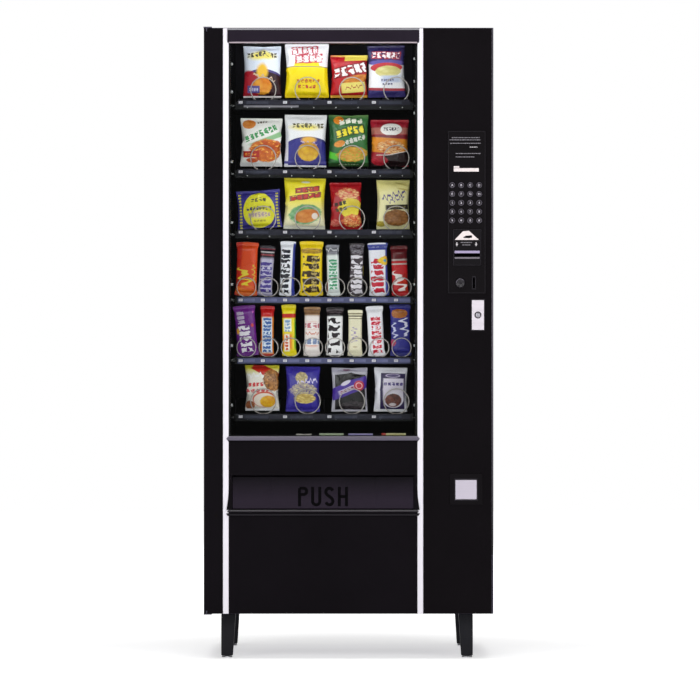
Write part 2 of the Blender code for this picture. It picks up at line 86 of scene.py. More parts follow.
class Graph:
    """A small helper for building node materials."""

    def __init__(self, name, base, rough=0.5, metal=0.0, ior=1.45, coat=0.0, coat_rough=0.1, spec=0.5):
        self.mat = bpy.data.materials.new(name)
        self.mat.use_nodes = True
        self.n = self.mat.node_tree.nodes
        self.l = self.mat.node_tree.links
        self.b = self.n["Principled BSDF"]
        self.b.inputs["Base Color"].default_value = base
        self.b.inputs["Roughness"].default_value = rough
        self.b.inputs["Metallic"].default_value = metal
        self.b.inputs["IOR"].default_value = ior
        self.b.inputs["Specular IOR Level"].default_value = spec
        self.b.inputs["Coat Weight"].default_value = coat
        self.b.inputs["Coat Roughness"].default_value = coat_rough
        self.colour = base
        self.rough = rough

    def node(self, kind, **props):
        n = self.n.new(kind)
        for k, v in props.items():
            setattr(n, k, v)
        return n

    def put(self, socket, value):
        if isinstance(value, bpy.types.NodeSocket):
            self.l.new(value, socket)
        elif value is not None:
            socket.default_value = value

    def coords(self, which="Object"):
        return self.node("ShaderNodeTexCoord").outputs[which]

    def stretch(self, scale, which="Object"):
        m = self.node("ShaderNodeMapping")
        self.put(m.inputs["Vector"], self.coords(which))
        m.inputs["Scale"].default_value = scale
        return m.outputs["Vector"]

    def noise(self, vector, scale, detail=3.0, rough=0.5, out="Fac"):
        t = self.node("ShaderNodeTexNoise")
        self.put(t.inputs["Vector"], vector)
        t.inputs["Scale"].default_value = scale
        t.inputs["Detail"].default_value = detail
        t.inputs["Roughness"].default_value = rough
        return t.outputs[out]

    def math(self, op, a, b=0.0, c=None, clamp=False):
        m = self.node("ShaderNodeMath", operation=op, use_clamp=clamp)
        self.put(m.inputs[0], a)
        self.put(m.inputs[1], b)
        if c is not None:
            self.put(m.inputs[2], c)
        return m.outputs[0]

    def remap(self, value, a, b, c, d):
        m = self.node("ShaderNodeMapRange")
        self.put(m.inputs["Value"], value)
        m.inputs["From Min"].default_value = a
        m.inputs["From Max"].default_value = b
        m.inputs["To Min"].default_value = c
        m.inputs["To Max"].default_value = d
        return m.outputs["Result"]

    def mix(self, mask, a, b):
        m = self.node("ShaderNodeMix", data_type="RGBA")
        self.put(m.inputs[0], mask)
        self.put(m.inputs[6], a)
        self.put(m.inputs[7], b)
        return m.outputs[2]

    def bump(self, height, strength, distance):
        m = self.node("ShaderNodeBump")
        m.inputs["Strength"].default_value = strength
        m.inputs["Distance"].default_value = distance
        self.put(m.inputs["Height"], height)
        self.l.new(m.outputs["Normal"], self.b.inputs["Normal"])

    def paint(self, colour):
        self.put(self.b.inputs["Base Color"], colour)

    def polish(self, value):
        self.put(self.b.inputs["Roughness"], value)


def painted(name, colour, rough=0.42, grain=900.0, depth=0.00004, ior=1.38, metal=0.0, spread=0.18, coat=0.0, spec=0.15):
    """Powder coat or satin paint: faint mottling, slight smears in the gloss, and a fine orange peel."""
    g = Graph(name, colour, rough, metal, ior, coat, spec=spec)
    at = g.coords()
    broad = g.noise(at, 3.1, 4.0, 0.6)
    light = tuple(min(1.0, c * (1 + spread)) for c in colour[:3]) + (1,)
    dark = tuple(c * (1 - spread) for c in colour[:3]) + (1,)
    g.paint(g.mix(g.remap(broad, 0.3, 0.7, 0, 1), dark, light))
    smear = g.noise(g.stretch((1.0, 1.0, 0.25)), 9.0, 5.0, 0.65)
    g.polish(g.remap(smear, 0.25, 0.75, rough - 0.05, rough + 0.07))
    g.bump(g.noise(at, grain, 2.0, 0.5), 0.35, depth)
    return g.mat


def brushed(name, colour, rough=0.32, metal=0.9, along=(2.0, 2.0, 900.0), ior=1.5, spread=0.08):
    """Metal or anodised aluminium with fine lines drawn along one way."""
    g = Graph(name, colour, rough, metal, ior)
    lines = g.noise(g.stretch(along), 1.0, 4.0, 0.7)
    light = tuple(min(1.0, c * (1 + spread)) for c in colour[:3]) + (1,)
    dark = tuple(c * (1 - spread) for c in colour[:3]) + (1,)
    g.paint(g.mix(g.remap(lines, 0.3, 0.7, 0, 1), dark, light))
    g.polish(g.remap(lines, 0.3, 0.7, rough - 0.06, rough + 0.08))
    g.bump(lines, 0.15, 0.00003)
    return g.mat


def plastic(name, colour, rough=0.3, ior=1.46, grain=1400.0, depth=0.00002, coat=0.0, spread=0.1, spec=0.2):
    g = Graph(name, colour, rough, 0.0, ior, coat, spec=spec)
    at = g.coords()
    soft = g.noise(at, 25.0, 3.0, 0.5)
    light = tuple(min(1.0, c * (1 + spread)) for c in colour[:3]) + (1,)
    dark = tuple(c * (1 - spread) for c in colour[:3]) + (1,)
    g.paint(g.mix(soft, dark, light))
    g.polish(g.remap(soft, 0.3, 0.7, rough - 0.03, rough + 0.05))
    g.bump(g.noise(at, grain, 1.0, 0.5), 0.2, depth)
    return g.mat


def print_ink(name, colour, rough=0.45):
    g = Graph(name, colour, rough, 0.0, 1.4)
    at = g.coords()
    g.paint(g.mix(g.noise(at, 400.0, 2.0), tuple(c * 0.86 for c in colour[:3]) + (1,), colour))
    return g.mat


def window_material():
    """Clear sheet glass: it lets light through unbent and mirrors a little more at a slant."""
    mat = bpy.data.materials.new("clear_window")
    mat.use_nodes = True
    n, l = mat.node_tree.nodes, mat.node_tree.links
    n.remove(n["Principled BSDF"])
    out = n["Material Output"]
    clear = n.new("ShaderNodeBsdfTransparent")
    clear.inputs["Color"].default_value = (0.97, 0.985, 0.98, 1)
    shine = n.new("ShaderNodeBsdfGlossy")
    shine.inputs["Roughness"].default_value = 0.02
    shine.inputs["Color"].default_value = (1, 1, 1, 1)
    f = n.new("ShaderNodeFresnel")
    f.inputs["IOR"].default_value = 1.33
    m = n.new("ShaderNodeMixShader")
    l.new(f.outputs[0], m.inputs[0])
    l.new(clear.outputs[0], m.inputs[1])
    l.new(shine.outputs[0], m.inputs[2])
    l.new(m.outputs[0], out.inputs["Surface"])
    return mat


def lamp_material():
    g = Graph("lamp_tube_glow", (0.95, 0.97, 1.0, 1), 0.3)
    g.b.inputs["Emission Color"].default_value = (0.93, 0.96, 1.0, 1)
    g.b.inputs["Emission Strength"].default_value = 9.0
    g.paint(g.mix(g.noise(g.coords(), 60.0), (0.88, 0.9, 0.94, 1), (0.97, 0.98, 1.0, 1)))
    return g.mat


M = {}
M["door"] = painted("door_black", rgb("0d0a0e"), 0.45, spec=0.04)
M["panel"] = painted("panel_black", rgb("0d0a0e"), 0.42, spec=0.04)
M["control"] = painted("control_black", rgb("0c090c"), 0.45, spec=0.04)
M["cabinet"] = painted("cabinet_grey", rgb("4b4855"), 0.5, grain=700.0, depth=0.00008, spread=0.05)
M["header"] = painted("header_dark", rgb("1d1721"), 0.42, spec=0.07)
M["liner"] = painted("liner_black", rgb("0b0a0d"), 0.22, ior=1.5, spec=0.3)
M["tray"] = painted("tray_grey", rgb("0f0f12"), 0.4, ior=1.45, spec=0.15)
M["trim"] = brushed("trim_anodised", rgb("d6d2da"), 0.42, 0.15, along=(900.0, 900.0, 3.0), spread=0.04)
M["silver"] = brushed("silver_zinc", rgb("c6bfc7"), 0.38, 0.25, along=(3.0, 3.0, 500.0), spread=0.05)
M["flap_steel"] = brushed("cup_steel", rgb("b3acb9"), 0.38, 0.3, along=(3.0, 3.0, 900.0), spread=0.05)
M["guard"] = brushed("guard_steel", rgb("8f8f94"), 0.35, 0.85, along=(3.0, 3.0, 700.0))
M["wire"] = brushed("coil_wire", rgb("b9b1ae"), 0.4, 0.3, along=(60.0, 60.0, 60.0), spread=0.1)
M["zinc"] = brushed("zinc_plate", rgb("9a98a0"), 0.33, 0.85)


def edge_material():
    """The cabinet's front flange: painted highlight along its middle height and painted shade darker towards the floor,
    with faint wear lines.
    """
    g = Graph("cabinet_front_edge", rgb("55525a"), 0.4, 0.2, 1.5, spec=0.3)
    sep = g.node("ShaderNodeSeparateXYZ")
    g.put(sep.inputs[0], g.coords())
    # painted light: painted shade darkens the flange towards the floor, and a painted highlight brightens it between
    # about 0.9 m and 1.4 m high
    low = g.remap(sep.outputs[2], 0.30, 0.90, 0, 1)
    high = g.remap(sep.outputs[2], 1.40, 1.80, 0, 1)
    tone = g.mix(high, g.mix(low, rgb("19161b"), rgb("726e78")), rgb("4c4951"))
    wear_lines = g.noise(g.stretch((200.0, 200.0, 2.0)), 1.0, 3.0)
    g.paint(g.mix(g.remap(wear_lines, 0.3, 0.7, 0, 0.25), tone, rgb("3a3740")))
    g.polish(g.remap(wear_lines, 0.3, 0.7, 0.34, 0.46))
    return g.mat


def flap_material():
    """Moulded flap: textured, with painted shade darkening it towards its top under the fascia's overhang, so it is
    lighter towards its lower edge.
    """
    g = Graph("flap_moulded", rgb("241e28"), 0.5, 0.0, 1.45, spec=0.04)
    at = g.coords()
    sep = g.node("ShaderNodeSeparateXYZ")
    g.put(sep.inputs[0], at)
    up = g.remap(sep.outputs[2], 0.458, 0.527, 0, 1)
    worn = g.noise(g.stretch((0.5, 1, 1)), 14.0, 4.0)
    # painted shade: the flap's colour darkens towards its top, where the fascia overhangs it
    tone = g.mix(up, rgb("241e28"), rgb("0a080c"))
    g.paint(g.mix(g.remap(worn, 0.35, 0.75, 0, 0.22), tone, rgb("2c2530")))
    g.polish(g.remap(worn, 0.3, 0.7, 0.4, 0.52))
    g.bump(g.noise(at, 700.0, 1.0), 0.25, 0.00006)
    return g.mat


M["edge"] = edge_material()
M["flap"] = flap_material()
M["flap_dark"] = plastic("flap_letters", rgb("060507"), 0.55, spec=0.02)
M["bezel"] = plastic("bezel_black", rgb("0c090c"), 0.4, spec=0.05)
M["bezel_line"] = plastic("bezel_line", rgb("221f24"), 0.42, spec=0.1)
M["validator"] = plastic("validator_black", rgb("0d0a0e"), 0.38, spec=0.08)
M["key"] = plastic("key_dark", rgb("1d1a1f"), 0.25, ior=1.5)
# a lighter grey used as a painted highlight on the keys' crowns and on the coin return button
M["key_ring"] = plastic("key_ring", rgb("5d5862"), 0.35)
M["legend"] = print_ink("legend_grey", rgb("b5afba"))
M["white_print"] = print_ink("white_print", rgb("b9b4b8"))
M["dim_print"] = print_ink("dim_print", rgb("77737a"))
M["label_white"] = print_ink("label_white", rgb("ddd2d2"))
M["bar_purple"] = plastic("bar_purple", rgb("9a8fae"), 0.3)
M["bar_grey"] = plastic("bar_grey", rgb("6c676e"), 0.35)
M["bin"] = plastic("bin_black", rgb("17151a"), 0.45)
M["leg"] = painted("leg_black", rgb("1b1b1f"), 0.45, spec=0.12)
M["glide"] = brushed("glide_steel", rgb("b9b9bd"), 0.35, 0.7)
M["tag_rail"] = plastic("tag_rail", rgb("2b2a35"), 0.22, ior=1.5)
M["tag_rail_candy"] = plastic("tag_rail_candy", rgb("56587a"), 0.22, ior=1.5)
M["tag_card"] = plastic("tag_card", rgb("3a3b4a"), 0.25, ior=1.5)
M["tag_card_candy"] = plastic("tag_card_candy", rgb("6a6c92"), 0.25, ior=1.5)
M["shelf_strip"] = plastic("shelf_strip", rgb("8b8790"), 0.3)
M["tag"] = print_ink("price_tag", rgb("dcd6de"))
M["tag_ink"] = print_ink("price_tag_ink", rgb("9a93a4"))
M["stud"] = plastic("nylon_stud", rgb("c8c8ca"), 0.4)
M["motor"] = plastic("motor_case", rgb("2a2b30"), 0.5)
# lit and shaded copies of one brushed sill metal: the lighter is a painted highlight on the sill's top slope, the
# darker painted shade on its front
M["sill_light"] = brushed("sill_light", rgb("66606e"), 0.42, 0.15, along=(2.0, 900.0, 900.0), spread=0.06)
M["sill_dark"] = brushed("sill_dark", rgb("484252"), 0.45, 0.15, along=(2.0, 900.0, 900.0), spread=0.06)
# a slightly lighter black for the delivery lip's lower ridge: a faint painted highlight band on an all-black moulding
M["lip_edge"] = plastic("lip_edge", rgb("18151a"), 0.45, spec=0.1)
M["pale"] = brushed("pale_strip", rgb("9a8d95"), 0.42, 0.15, along=(2.0, 900.0, 900.0), spread=0.05)
M["top_strip"] = brushed("top_strip", rgb("7b7a80"), 0.42, 0.2, along=(2.0, 900.0, 900.0), spread=0.05)
# a lighter grey for the delivery lip's upper ridge: a painted highlight line
M["lip_line"] = brushed("lip_line", rgb("28242a"), 0.42, 0.1, along=(2.0, 900.0, 900.0), spread=0.06)
M["rubber"] = plastic("gasket_rubber", rgb("101012"), 0.6)
M["glass"] = window_material()
M["lamp"] = lamp_material()


# ------------------------------------------------------------------ mesh helpers
def link(obj):
    bpy.context.scene.collection.objects.link(obj)
    return obj


def piece(name, bm, mat, body, smooth=False, bevel=0.0, segs=2, sharp=35):
    mesh = bpy.data.meshes.new(name)
    bm.to_mesh(mesh)
    bm.free()
    mesh.materials.append(mat)
    obj = link(bpy.data.objects.new(name, mesh))
    if bevel:
        soften(obj, bevel, segs)
    if smooth or bevel:
        mesh.shade_smooth()
        mesh.set_sharp_from_angle(angle=math.radians(sharp))
    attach(obj, body)
    return obj


def soften(obj, width, segs=2):
    mod = obj.modifiers.new("soft edges", "BEVEL")
    mod.width = width * MM
    mod.segments = segs
    mod.limit_method = "ANGLE"
    mod.angle_limit = math.radians(32)
    mod.harden_normals = False


def add_box(bm, lo, hi):
    made = bmesh.ops.create_cube(bm, size=1.0)["verts"]
    bmesh.ops.scale(bm, vec=[(h - l) * MM for l, h in zip(lo, hi)], verts=made)
    bmesh.ops.translate(bm, vec=[(h + l) / 2 * MM for l, h in zip(lo, hi)], verts=made)
    return made


def add_rod(bm, centre, radius, length, axis="Y", sides=32, radius2=None):
    turn = {"X": Matrix.Rotation(math.pi / 2, 4, "Y"), "Y": Matrix.Rotation(math.pi / 2, 4, "X"), "Z": Matrix.Identity(4)}[axis]
    bmesh.ops.create_cone(
        bm, cap_ends=True, segments=sides, radius1=radius * MM,
        radius2=(radius if radius2 is None else radius2) * MM, depth=length * MM,
        matrix=Matrix.Translation(Vector(centre) * MM) @ turn,
    )


def boxes(name, spans, mat, body, bevel=0.4, segs=2):
    bm = bmesh.new()
    for lo, hi in spans:
        add_box(bm, lo, hi)
    return piece(name, bm, mat, body, bevel=bevel, segs=segs)


def carve(obj, spans=(), rods=(), kind="DIFFERENCE"):
    """A Boolean with hidden tools, applied at once."""
    bm = bmesh.new()
    for lo, hi in spans:
        add_box(bm, lo, hi)
    for rod in rods:
        add_rod(bm, **rod)
    mesh = bpy.data.meshes.new("tool")
    bm.to_mesh(mesh)
    bm.free()
    tool = link(bpy.data.objects.new("tool", mesh))
    mod = obj.modifiers.new("carve", "BOOLEAN")
    mod.operation = kind
    mod.object = tool
    bpy.context.view_layer.update()
    got = bpy.data.meshes.new_from_object(obj.evaluated_get(bpy.context.evaluated_depsgraph_get()))
    obj.modifiers.remove(mod)
    old = obj.data
    obj.data = got
    bpy.data.meshes.remove(old)
    bpy.data.objects.remove(tool, do_unlink=True)
    return obj


def tidy_copy(node):
    """The CAD node's shape as a clean bmesh, welded and with flat faces joined."""
    src = NODES[node]
    bm = bmesh.new()
    bm.from_mesh(src.data)
    bm.transform(src.matrix_world)
    bmesh.ops.remove_doubles(bm, verts=bm.verts, dist=2e-6)
    bmesh.ops.dissolve_limit(bm, angle_limit=math.radians(0.6), verts=bm.verts, edges=bm.edges)
    return bm


def refine(node, mat, bevel=0.8, segs=2):
    """Stand a softened copy in for a CAD node."""
    obj = piece(node + "_skin", tidy_copy(node), mat, BODY_OF[node], bevel=bevel, segs=segs)
    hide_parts(node)
    return obj


def wear(node, mat):
    for s in NODES[node].material_slots:
        s.material = mat


def turned(name, profile, origin, mat, body, steps=40, smooth_angle=40):
    """A turned piece facing -Y from (radius, height in front of origin) points, front axis point first."""
    bm = bmesh.new()
    rings = []
    for r, out in profile:
        if r == 0:
            rings.append([bm.verts.new((origin[0] * MM, (origin[1] - out) * MM, origin[2] * MM))])
        else:
            rings.append([
                bm.verts.new(((origin[0] + r * math.cos(a)) * MM, (origin[1] - out) * MM, (origin[2] + r * math.sin(a)) * MM))
                for a in (2 * math.pi * i / steps for i in range(steps))
            ])
    for a, b in zip(rings, rings[1:]):
        for i in range(steps):
            j = (i + 1) % steps
            if len(a) == 1:
                bm.faces.new((a[0], b[i], b[j]))
            elif len(b) == 1:
                bm.faces.new((a[i], b[0], a[j]))
            else:
                bm.faces.new((a[i], b[i], b[j], a[j]))
    bmesh.ops.recalc_face_normals(bm, faces=bm.faces)
    return piece(name, bm, mat, body, smooth=True, sharp=smooth_angle)


def bar(name, profile, left, right, ends, mats, body, pick=None):
    """A bar along X with the (y, z) profile. ends(z) is how far each end reaches past left and right."""
    bm = bmesh.new()
    cols = []
    for side in (0, 1):
        cols.append([
            bm.verts.new((((right + ends(z)) if side else (left - ends(z))) * MM, y * MM, z * MM)) for y, z in profile
        ])
    k = len(profile)
    for i in range(k):
        j = (i + 1) % k
        f = bm.faces.new((cols[0][i], cols[0][j], cols[1][j], cols[1][i]))
        if pick:
            f.material_index = pick((profile[i][0] + profile[j][0]) / 2, (profile[i][1] + profile[j][1]) / 2)
    bm.faces.new(cols[0])
    bm.faces.new(list(reversed(cols[1])))
    bmesh.ops.recalc_face_normals(bm, faces=bm.faces)
    obj = piece(name, bm, mats[0], body, smooth=True, sharp=30)
    for m in mats[1:]:
        obj.data.materials.append(m)
    return obj


def words(name, text, centre, size, mat, body, depth=0.4, weight=0.0, squeeze=1.0, turn=0.0):
    """Flat raised characters facing -Y, as a mesh."""
    curve = bpy.data.curves.new(name, "FONT")
    curve.body = text
    curve.align_x = "CENTER"
    curve.align_y = "CENTER"
    curve.size = 1.0
    curve.extrude = 0.5
    curve.offset = weight
    curve.resolution_u = 3
    tmp = link(bpy.data.objects.new(name, curve))
    bpy.context.view_layer.update()
    mesh = bpy.data.meshes.new_from_object(tmp.evaluated_get(bpy.context.evaluated_depsgraph_get()))
    bpy.data.objects.remove(tmp, do_unlink=True)
    co = np.array([v.co[:] for v in mesh.vertices])
    lo, hi = co.min(0), co.max(0)
    tall = size[1] if isinstance(size, tuple) else size
    wide = size[0] if isinstance(size, tuple) else tall * (hi[0] - lo[0]) / (hi[1] - lo[1]) * squeeze
    bm = bmesh.new()
    bm.from_mesh(mesh)
    bpy.data.meshes.remove(mesh)
    bmesh.ops.remove_doubles(bm, verts=bm.verts, dist=1e-5)
    mid = (lo + hi) / 2
    for v in bm.verts:
        x = (v.co.x - mid[0]) / (hi[0] - lo[0]) * wide
        z = (v.co.y - mid[1]) / (hi[1] - lo[1]) * tall
        y = -v.co.z * depth * 2 / 1.0
        if turn:
            x, z = x * math.cos(turn) - z * math.sin(turn), x * math.sin(turn) + z * math.cos(turn)
        v.co = Vector(((centre[0] + x) * MM, (centre[1] + y / 2) * MM, (centre[2] + z) * MM))
    bmesh.ops.recalc_face_normals(bm, faces=bm.faces)
    return piece(name, bm, mat, body)


def tube(name, points, radius, mat, body, sides=8):
    """A round wire through the points, with flat ends."""
    pts = [Vector(p) * MM for p in points]
    bm = bmesh.new()
    rings = []
    up = None
    for i, p in enumerate(pts):
        d = (pts[min(i + 1, len(pts) - 1)] - pts[max(i - 1, 0)]).normalized()
        if up is None:
            up = d.orthogonal().normalized()
        up = (up - d * up.dot(d)).normalized()
        side = d.cross(up)
        rings.append([
            bm.verts.new(p + (up * math.cos(a) + side * math.sin(a)) * radius * MM)
            for a in (2 * math.pi * k / sides for k in range(sides))
        ])
    for a, b in zip(rings, rings[1:]):
        for k in range(sides):
            j = (k + 1) % sides
            bm.faces.new((a[k], a[j], b[j], b[k]))
    bm.faces.new(list(reversed(rings[0])))
    bm.faces.new(rings[-1])
    bmesh.ops.recalc_face_normals(bm, faces=bm.faces)
    return piece(name, bm, mat, body, smooth=True, sharp=50)


# ------------------------------------------------------------------ cabinet
shell = piece("cabinet_shell_skin", tidy_copy("cabinet_shell"), M["cabinet"], "cabinet")
carve(shell, [
    ((x0, 445.0, z), (x0 + 180.0, 470.0, z + 9.0)) for x0 in (-230.0, 50.0) for z in range(230, 430, 20)
] + [((-400.0, 450.6, 1795.0), (400.0, 470.0, 1797.5)), ((-400.0, 450.6, 160.0), (400.0, 470.0, 162.5))])
soften(shell, 1.2, 2)
shell.data.shade_smooth()
shell.data.set_sharp_from_angle(angle=math.radians(35))
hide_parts("cabinet_shell")
refine("inner_partition", M["liner"], 0.6)
refine("liner_left", M["liner"], 0.6)

bm = bmesh.new()
for z in (1727, 1646, 1442, 1265, 1085, 907, 733):
    add_rod(bm, (-340.5, -300.0, z), 4.0, 6.0, "X", 20)
for z in (1743, 1677, 1584, 1442, 1265, 1085, 907, 733):
    add_rod(bm, (191.2, -300.0, z), 4.0, 4.0, "X", 20)
piece("wall_studs", bm, M["stud"], "cabinet", bevel=0.8)

for name, out in (("leg_front_left", -1), ("leg_front_right", 1), ("leg_rear_left", -1), ("leg_rear_right", 1)):
    lo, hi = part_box(name)
    cx, cy = (lo[0] + hi[0]) / 2 / MM, (lo[1] + hi[1]) / 2 / MM
    bm = bmesh.new()
    verts = []
    rows = 7
    for r in range(rows):
        t = r / (rows - 1)
        z = 5.2 + (127.7 - 5.2) * t
        inner = -out * (21.0 - 8.0 * (1 - t))
        outer = out * 21.0
        d = 21.0 * (0.82 + 0.18 * t)
        a, b = sorted((inner, outer))
        verts.append([bm.verts.new(((cx + x) * MM, (cy + y) * MM, z * MM)) for x, y in ((a, -d), (b, -d), (b, d), (a, d))])
    for p, q in zip(verts, verts[1:]):
        for i in range(4):
            j = (i + 1) % 4
            bm.faces.new((p[i], p[j], q[j], q[i]))
    bm.faces.new(list(reversed(verts[0])))
    bm.faces.new(verts[-1])
    leg = piece(name + "_skin", bm, M["leg"], "cabinet", bevel=3.5, segs=4)
    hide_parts(name)
    gx = cx + out * 4.0
    bm = bmesh.new()
    add_rod(bm, (gx, cy, 1.9), 16.0, 3.8, "Z", 32, 15.0)
    piece(name + "_glide", bm, M["glide"], "cabinet", bevel=1.0)
    bm = bmesh.new()
    add_rod(bm, (gx, cy, 5.0), 6.0, 3.4, "Z", 6)
    piece(name + "_nut", bm, M["glide"], "cabinet", bevel=0.5)

# a thin strip on the cabinet's front flange that carries the flange's painted highlight and painted shade
boxes("cabinet_front_edge", [((414.0, -379.2, 300.0), (419.7, -378.1, 1824.0))], M["edge"], "cabinet", 0.25, 1)

# ------------------------------------------------------------------ door
refine("door_frame", M["door"], 1.2, 2)
wear("window_glass", M["glass"])
refine("left_trim", M["trim"], 2.6, 4)
refine("right_trim", M["trim"], 2.6, 4)
head = piece("header_panel_skin", tidy_copy("header_panel"), M["header"], "door")
carve(head, [((-360.0, -460.0, 1770.0), (210.0, -441.6, 1786.2)), ((-360.0, -460.0, 1818.9), (210.0, -441.6, 1830.0))])
soften(head, 1.0, 3)
head.data.shade_smooth()
head.data.set_sharp_from_angle(angle=math.radians(35))
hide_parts("header_panel")
refine("fascia_panel", M["panel"], 0.8, 2)
refine("control_panel", M["control"], 0.8, 2)
boxes("header_strip", [((-346.0, -443.2, 1781.2), (198.0, -441.7, 1785.4))], M["pale"], "door", 0.8, 3)
boxes("header_top_strip", [((-351.0, -443.6, 1819.2), (204.0, -441.7, 1824.3))], M["top_strip"], "door", 0.6, 2)


def point_ends(mid, half, reach):
    return lambda z: reach * max(0.0, 1 - abs(z - mid) / half)


# the sill's top slope wears the lit copy as a painted highlight, and its front wears the shaded copy as painted shade
sill = bar(
    "window_sill_bar",
    [(-437.3, 628.2), (-441.0, 628.2), (-441.0, 631.6), (-445.0, 632.2), (-446.0, 633.4), (-446.0, 637.6), (-445.2, 639.4), (-444.6, 641.2), (-443.6, 643.0), (-442.4, 644.0), (-437.3, 644.0)],
    -346.5, 198.5, point_ends(637.0, 9.0, 7.5), [M["sill_dark"], M["sill_light"], M["panel"]], "door",
    lambda y, z: 1 if z > 641.2 else (2 if z < 632.0 else 0),
)
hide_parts("window_sill")
lower = boxes("lower_panel_skin", [((-346.7, -440.0, 131.0), (198.7, -437.3, 413.6))], M["panel"], "door", 0.8, 2)
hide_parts("lower_panel")
# the lip's upper ridge carries the painted highlight line and its lower ridge a fainter painted highlight band
bar(
    "delivery_lip",
    [(-437.3, 414.0), (-442.5, 414.0), (-444.6, 415.0), (-445.0, 417.0), (-444.6, 419.4), (-442.8, 420.6), (-440.6, 421.6),
     (-440.6, 424.6), (-443.0, 425.6), (-444.8, 427.4), (-444.8, 429.6), (-443.4, 431.2), (-437.3, 431.5)],
    -346.5, 198.5, point_ends(421.0, 11.0, 8.0), [M["lip_edge"], M["lip_line"], M["panel"]], "door",
    lambda y, z: 1 if z > 424.9 else (2 if z > 420 or z < 414.5 else 0),
)
for side, x0, sgn in (("left", -346.6, -1), ("right", 198.6, 1)):
    bm = bmesh.new()
    rows = []
    for i in range(9):
        t = i / 8
        z = 489.0 - (489.0 - 431.8) * t
        w = 0.4 + 6.2 * t**1.5
        p = 0.3 + 4.6 * t**1.4
        rows.append([bm.verts.new(((x0 + sgn * a) * MM, y * MM, z * MM)) for a, y in ((-9.0, -437.3), (-9.0, -437.6 - p), (w, -441.2 - p), (w, -441.2))])
    for a, b in zip(rows, rows[1:]):
        for k in range(4):
            j = (k + 1) % 4
            bm.faces.new((a[k], a[j], b[j], b[k]))
    bm.faces.new(rows[0])
    bm.faces.new(list(reversed(rows[-1])))
    bmesh.ops.recalc_face_normals(bm, faces=bm.faces)
    piece(f"flap_cheek_{side}", bm, M["panel"], "door", smooth=True)

# window gasket, behind the trims and round the glass
bm = bmesh.new()
add_box(bm, (-346.7, -436.5, 644.3), (-343.5, -429.4, 1776.8))
add_box(bm, (195.5, -436.5, 644.3), (198.7, -429.4, 1776.8))
add_box(bm, (-343.3, -436.5, 644.3), (195.3, -429.4, 647.3))
piece("window_gasket", bm, M["rubber"], "door", bevel=0.8)

# lamp behind the header
bm = bmesh.new()
add_rod(bm, (-72.0, -362.0, 1799.0), 8.0, 480.0, "X", 24)
piece("lamp_tube", bm, M["lamp"], "door", smooth=True)
bm = bmesh.new()
for x in (-317.0, 173.0):
    add_rod(bm, (x, -362.0, 1799.0), 9.0, 9.6, "X", 24)
piece("lamp_caps", bm, M["silver"], "door", bevel=0.8)
bm = bmesh.new()
rows = []
for x in (-322.0, 178.0):
    col = []
    for i in range(9):
        a = math.radians(60 + 160 * i / 8)
        col.append(bm.verts.new((x * MM, (-362.0 + 13.5 * math.cos(a)) * MM, (1799.0 + 13.5 * math.sin(a)) * MM)))
    rows.append(col)
for i in range(8):
    bm.faces.new((rows[0][i], rows[0][i + 1], rows[1][i + 1], rows[1][i]))
shade = piece("lamp_reflector", bm, M["label_white"], "door", smooth=True)
sol = shade.modifiers.new("sheet", "SOLIDIFY")
sol.thickness = 0.0008

# ------------------------------------------------------------------ delivery
refine("delivery_bin", M["bin"], 0.8)
refine("anti_theft_flap", M["guard"], 0.5)
FL, FR = -335.5, 187.5


def flap_front(z):
    return -432.4 - 5.6 * (527.5 - z) / 93.0


bm = bmesh.new()
xs = [FL, -228.4, -225.0, -223.4, 77.0, 78.5, 81.9, FR]
lift = [0.0, 0.0, 0.9, 0.3, 0.3, 0.9, 0.0, 0.0]
zs = [434.5, 436.5, 440.0, 478.0, 480.0, 482.0, 522.0, 526.0, 527.5]
zlift = [-1.2, 0.0, 0.0, 0.0, 0.35, 0.0, 0.0, -0.3, -1.2]
front = [[bm.verts.new((x * MM, (flap_front(z) - l - m) * MM, z * MM)) for x, l in zip(xs, lift)] for z, m in zip(zs, zlift)]
back = [[bm.verts.new((x * MM, -430.0 * MM, z * MM)) for x in (FL, FR)] for z in (434.5, 527.5)]
for a, b in zip(front, front[1:]):
    for i in range(len(xs) - 1):
        bm.faces.new((a[i], a[i + 1], b[i + 1], b[i]))
bm.faces.new((back[0][0], back[1][0], back[1][1], back[0][1]))
bm.faces.new([back[0][0], back[0][1]] + [front[0][i] for i in range(len(xs) - 1, -1, -1)])
bm.faces.new([back[1][1], back[1][0]] + front[-1])
bm.faces.new([back[1][0], back[0][0]] + [row[0] for row in front])
bm.faces.new([back[0][1], back[1][1]] + [row[-1] for row in reversed(front)])
bmesh.ops.recalc_face_normals(bm, faces=bm.faces)
flap = piece("delivery_flap_skin", bm, M["flap"], "delivery_flap_body", smooth=True, sharp=20)
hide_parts("delivery_flap")


def arc_pts(cx, cz, rx, rz, a0, a1, n):
    return [(cx + rx * math.cos(math.radians(a0 + (a1 - a0) * i / n)), cz + rz * math.sin(math.radians(a0 + (a1 - a0) * i / n))) for i in range(n + 1)]


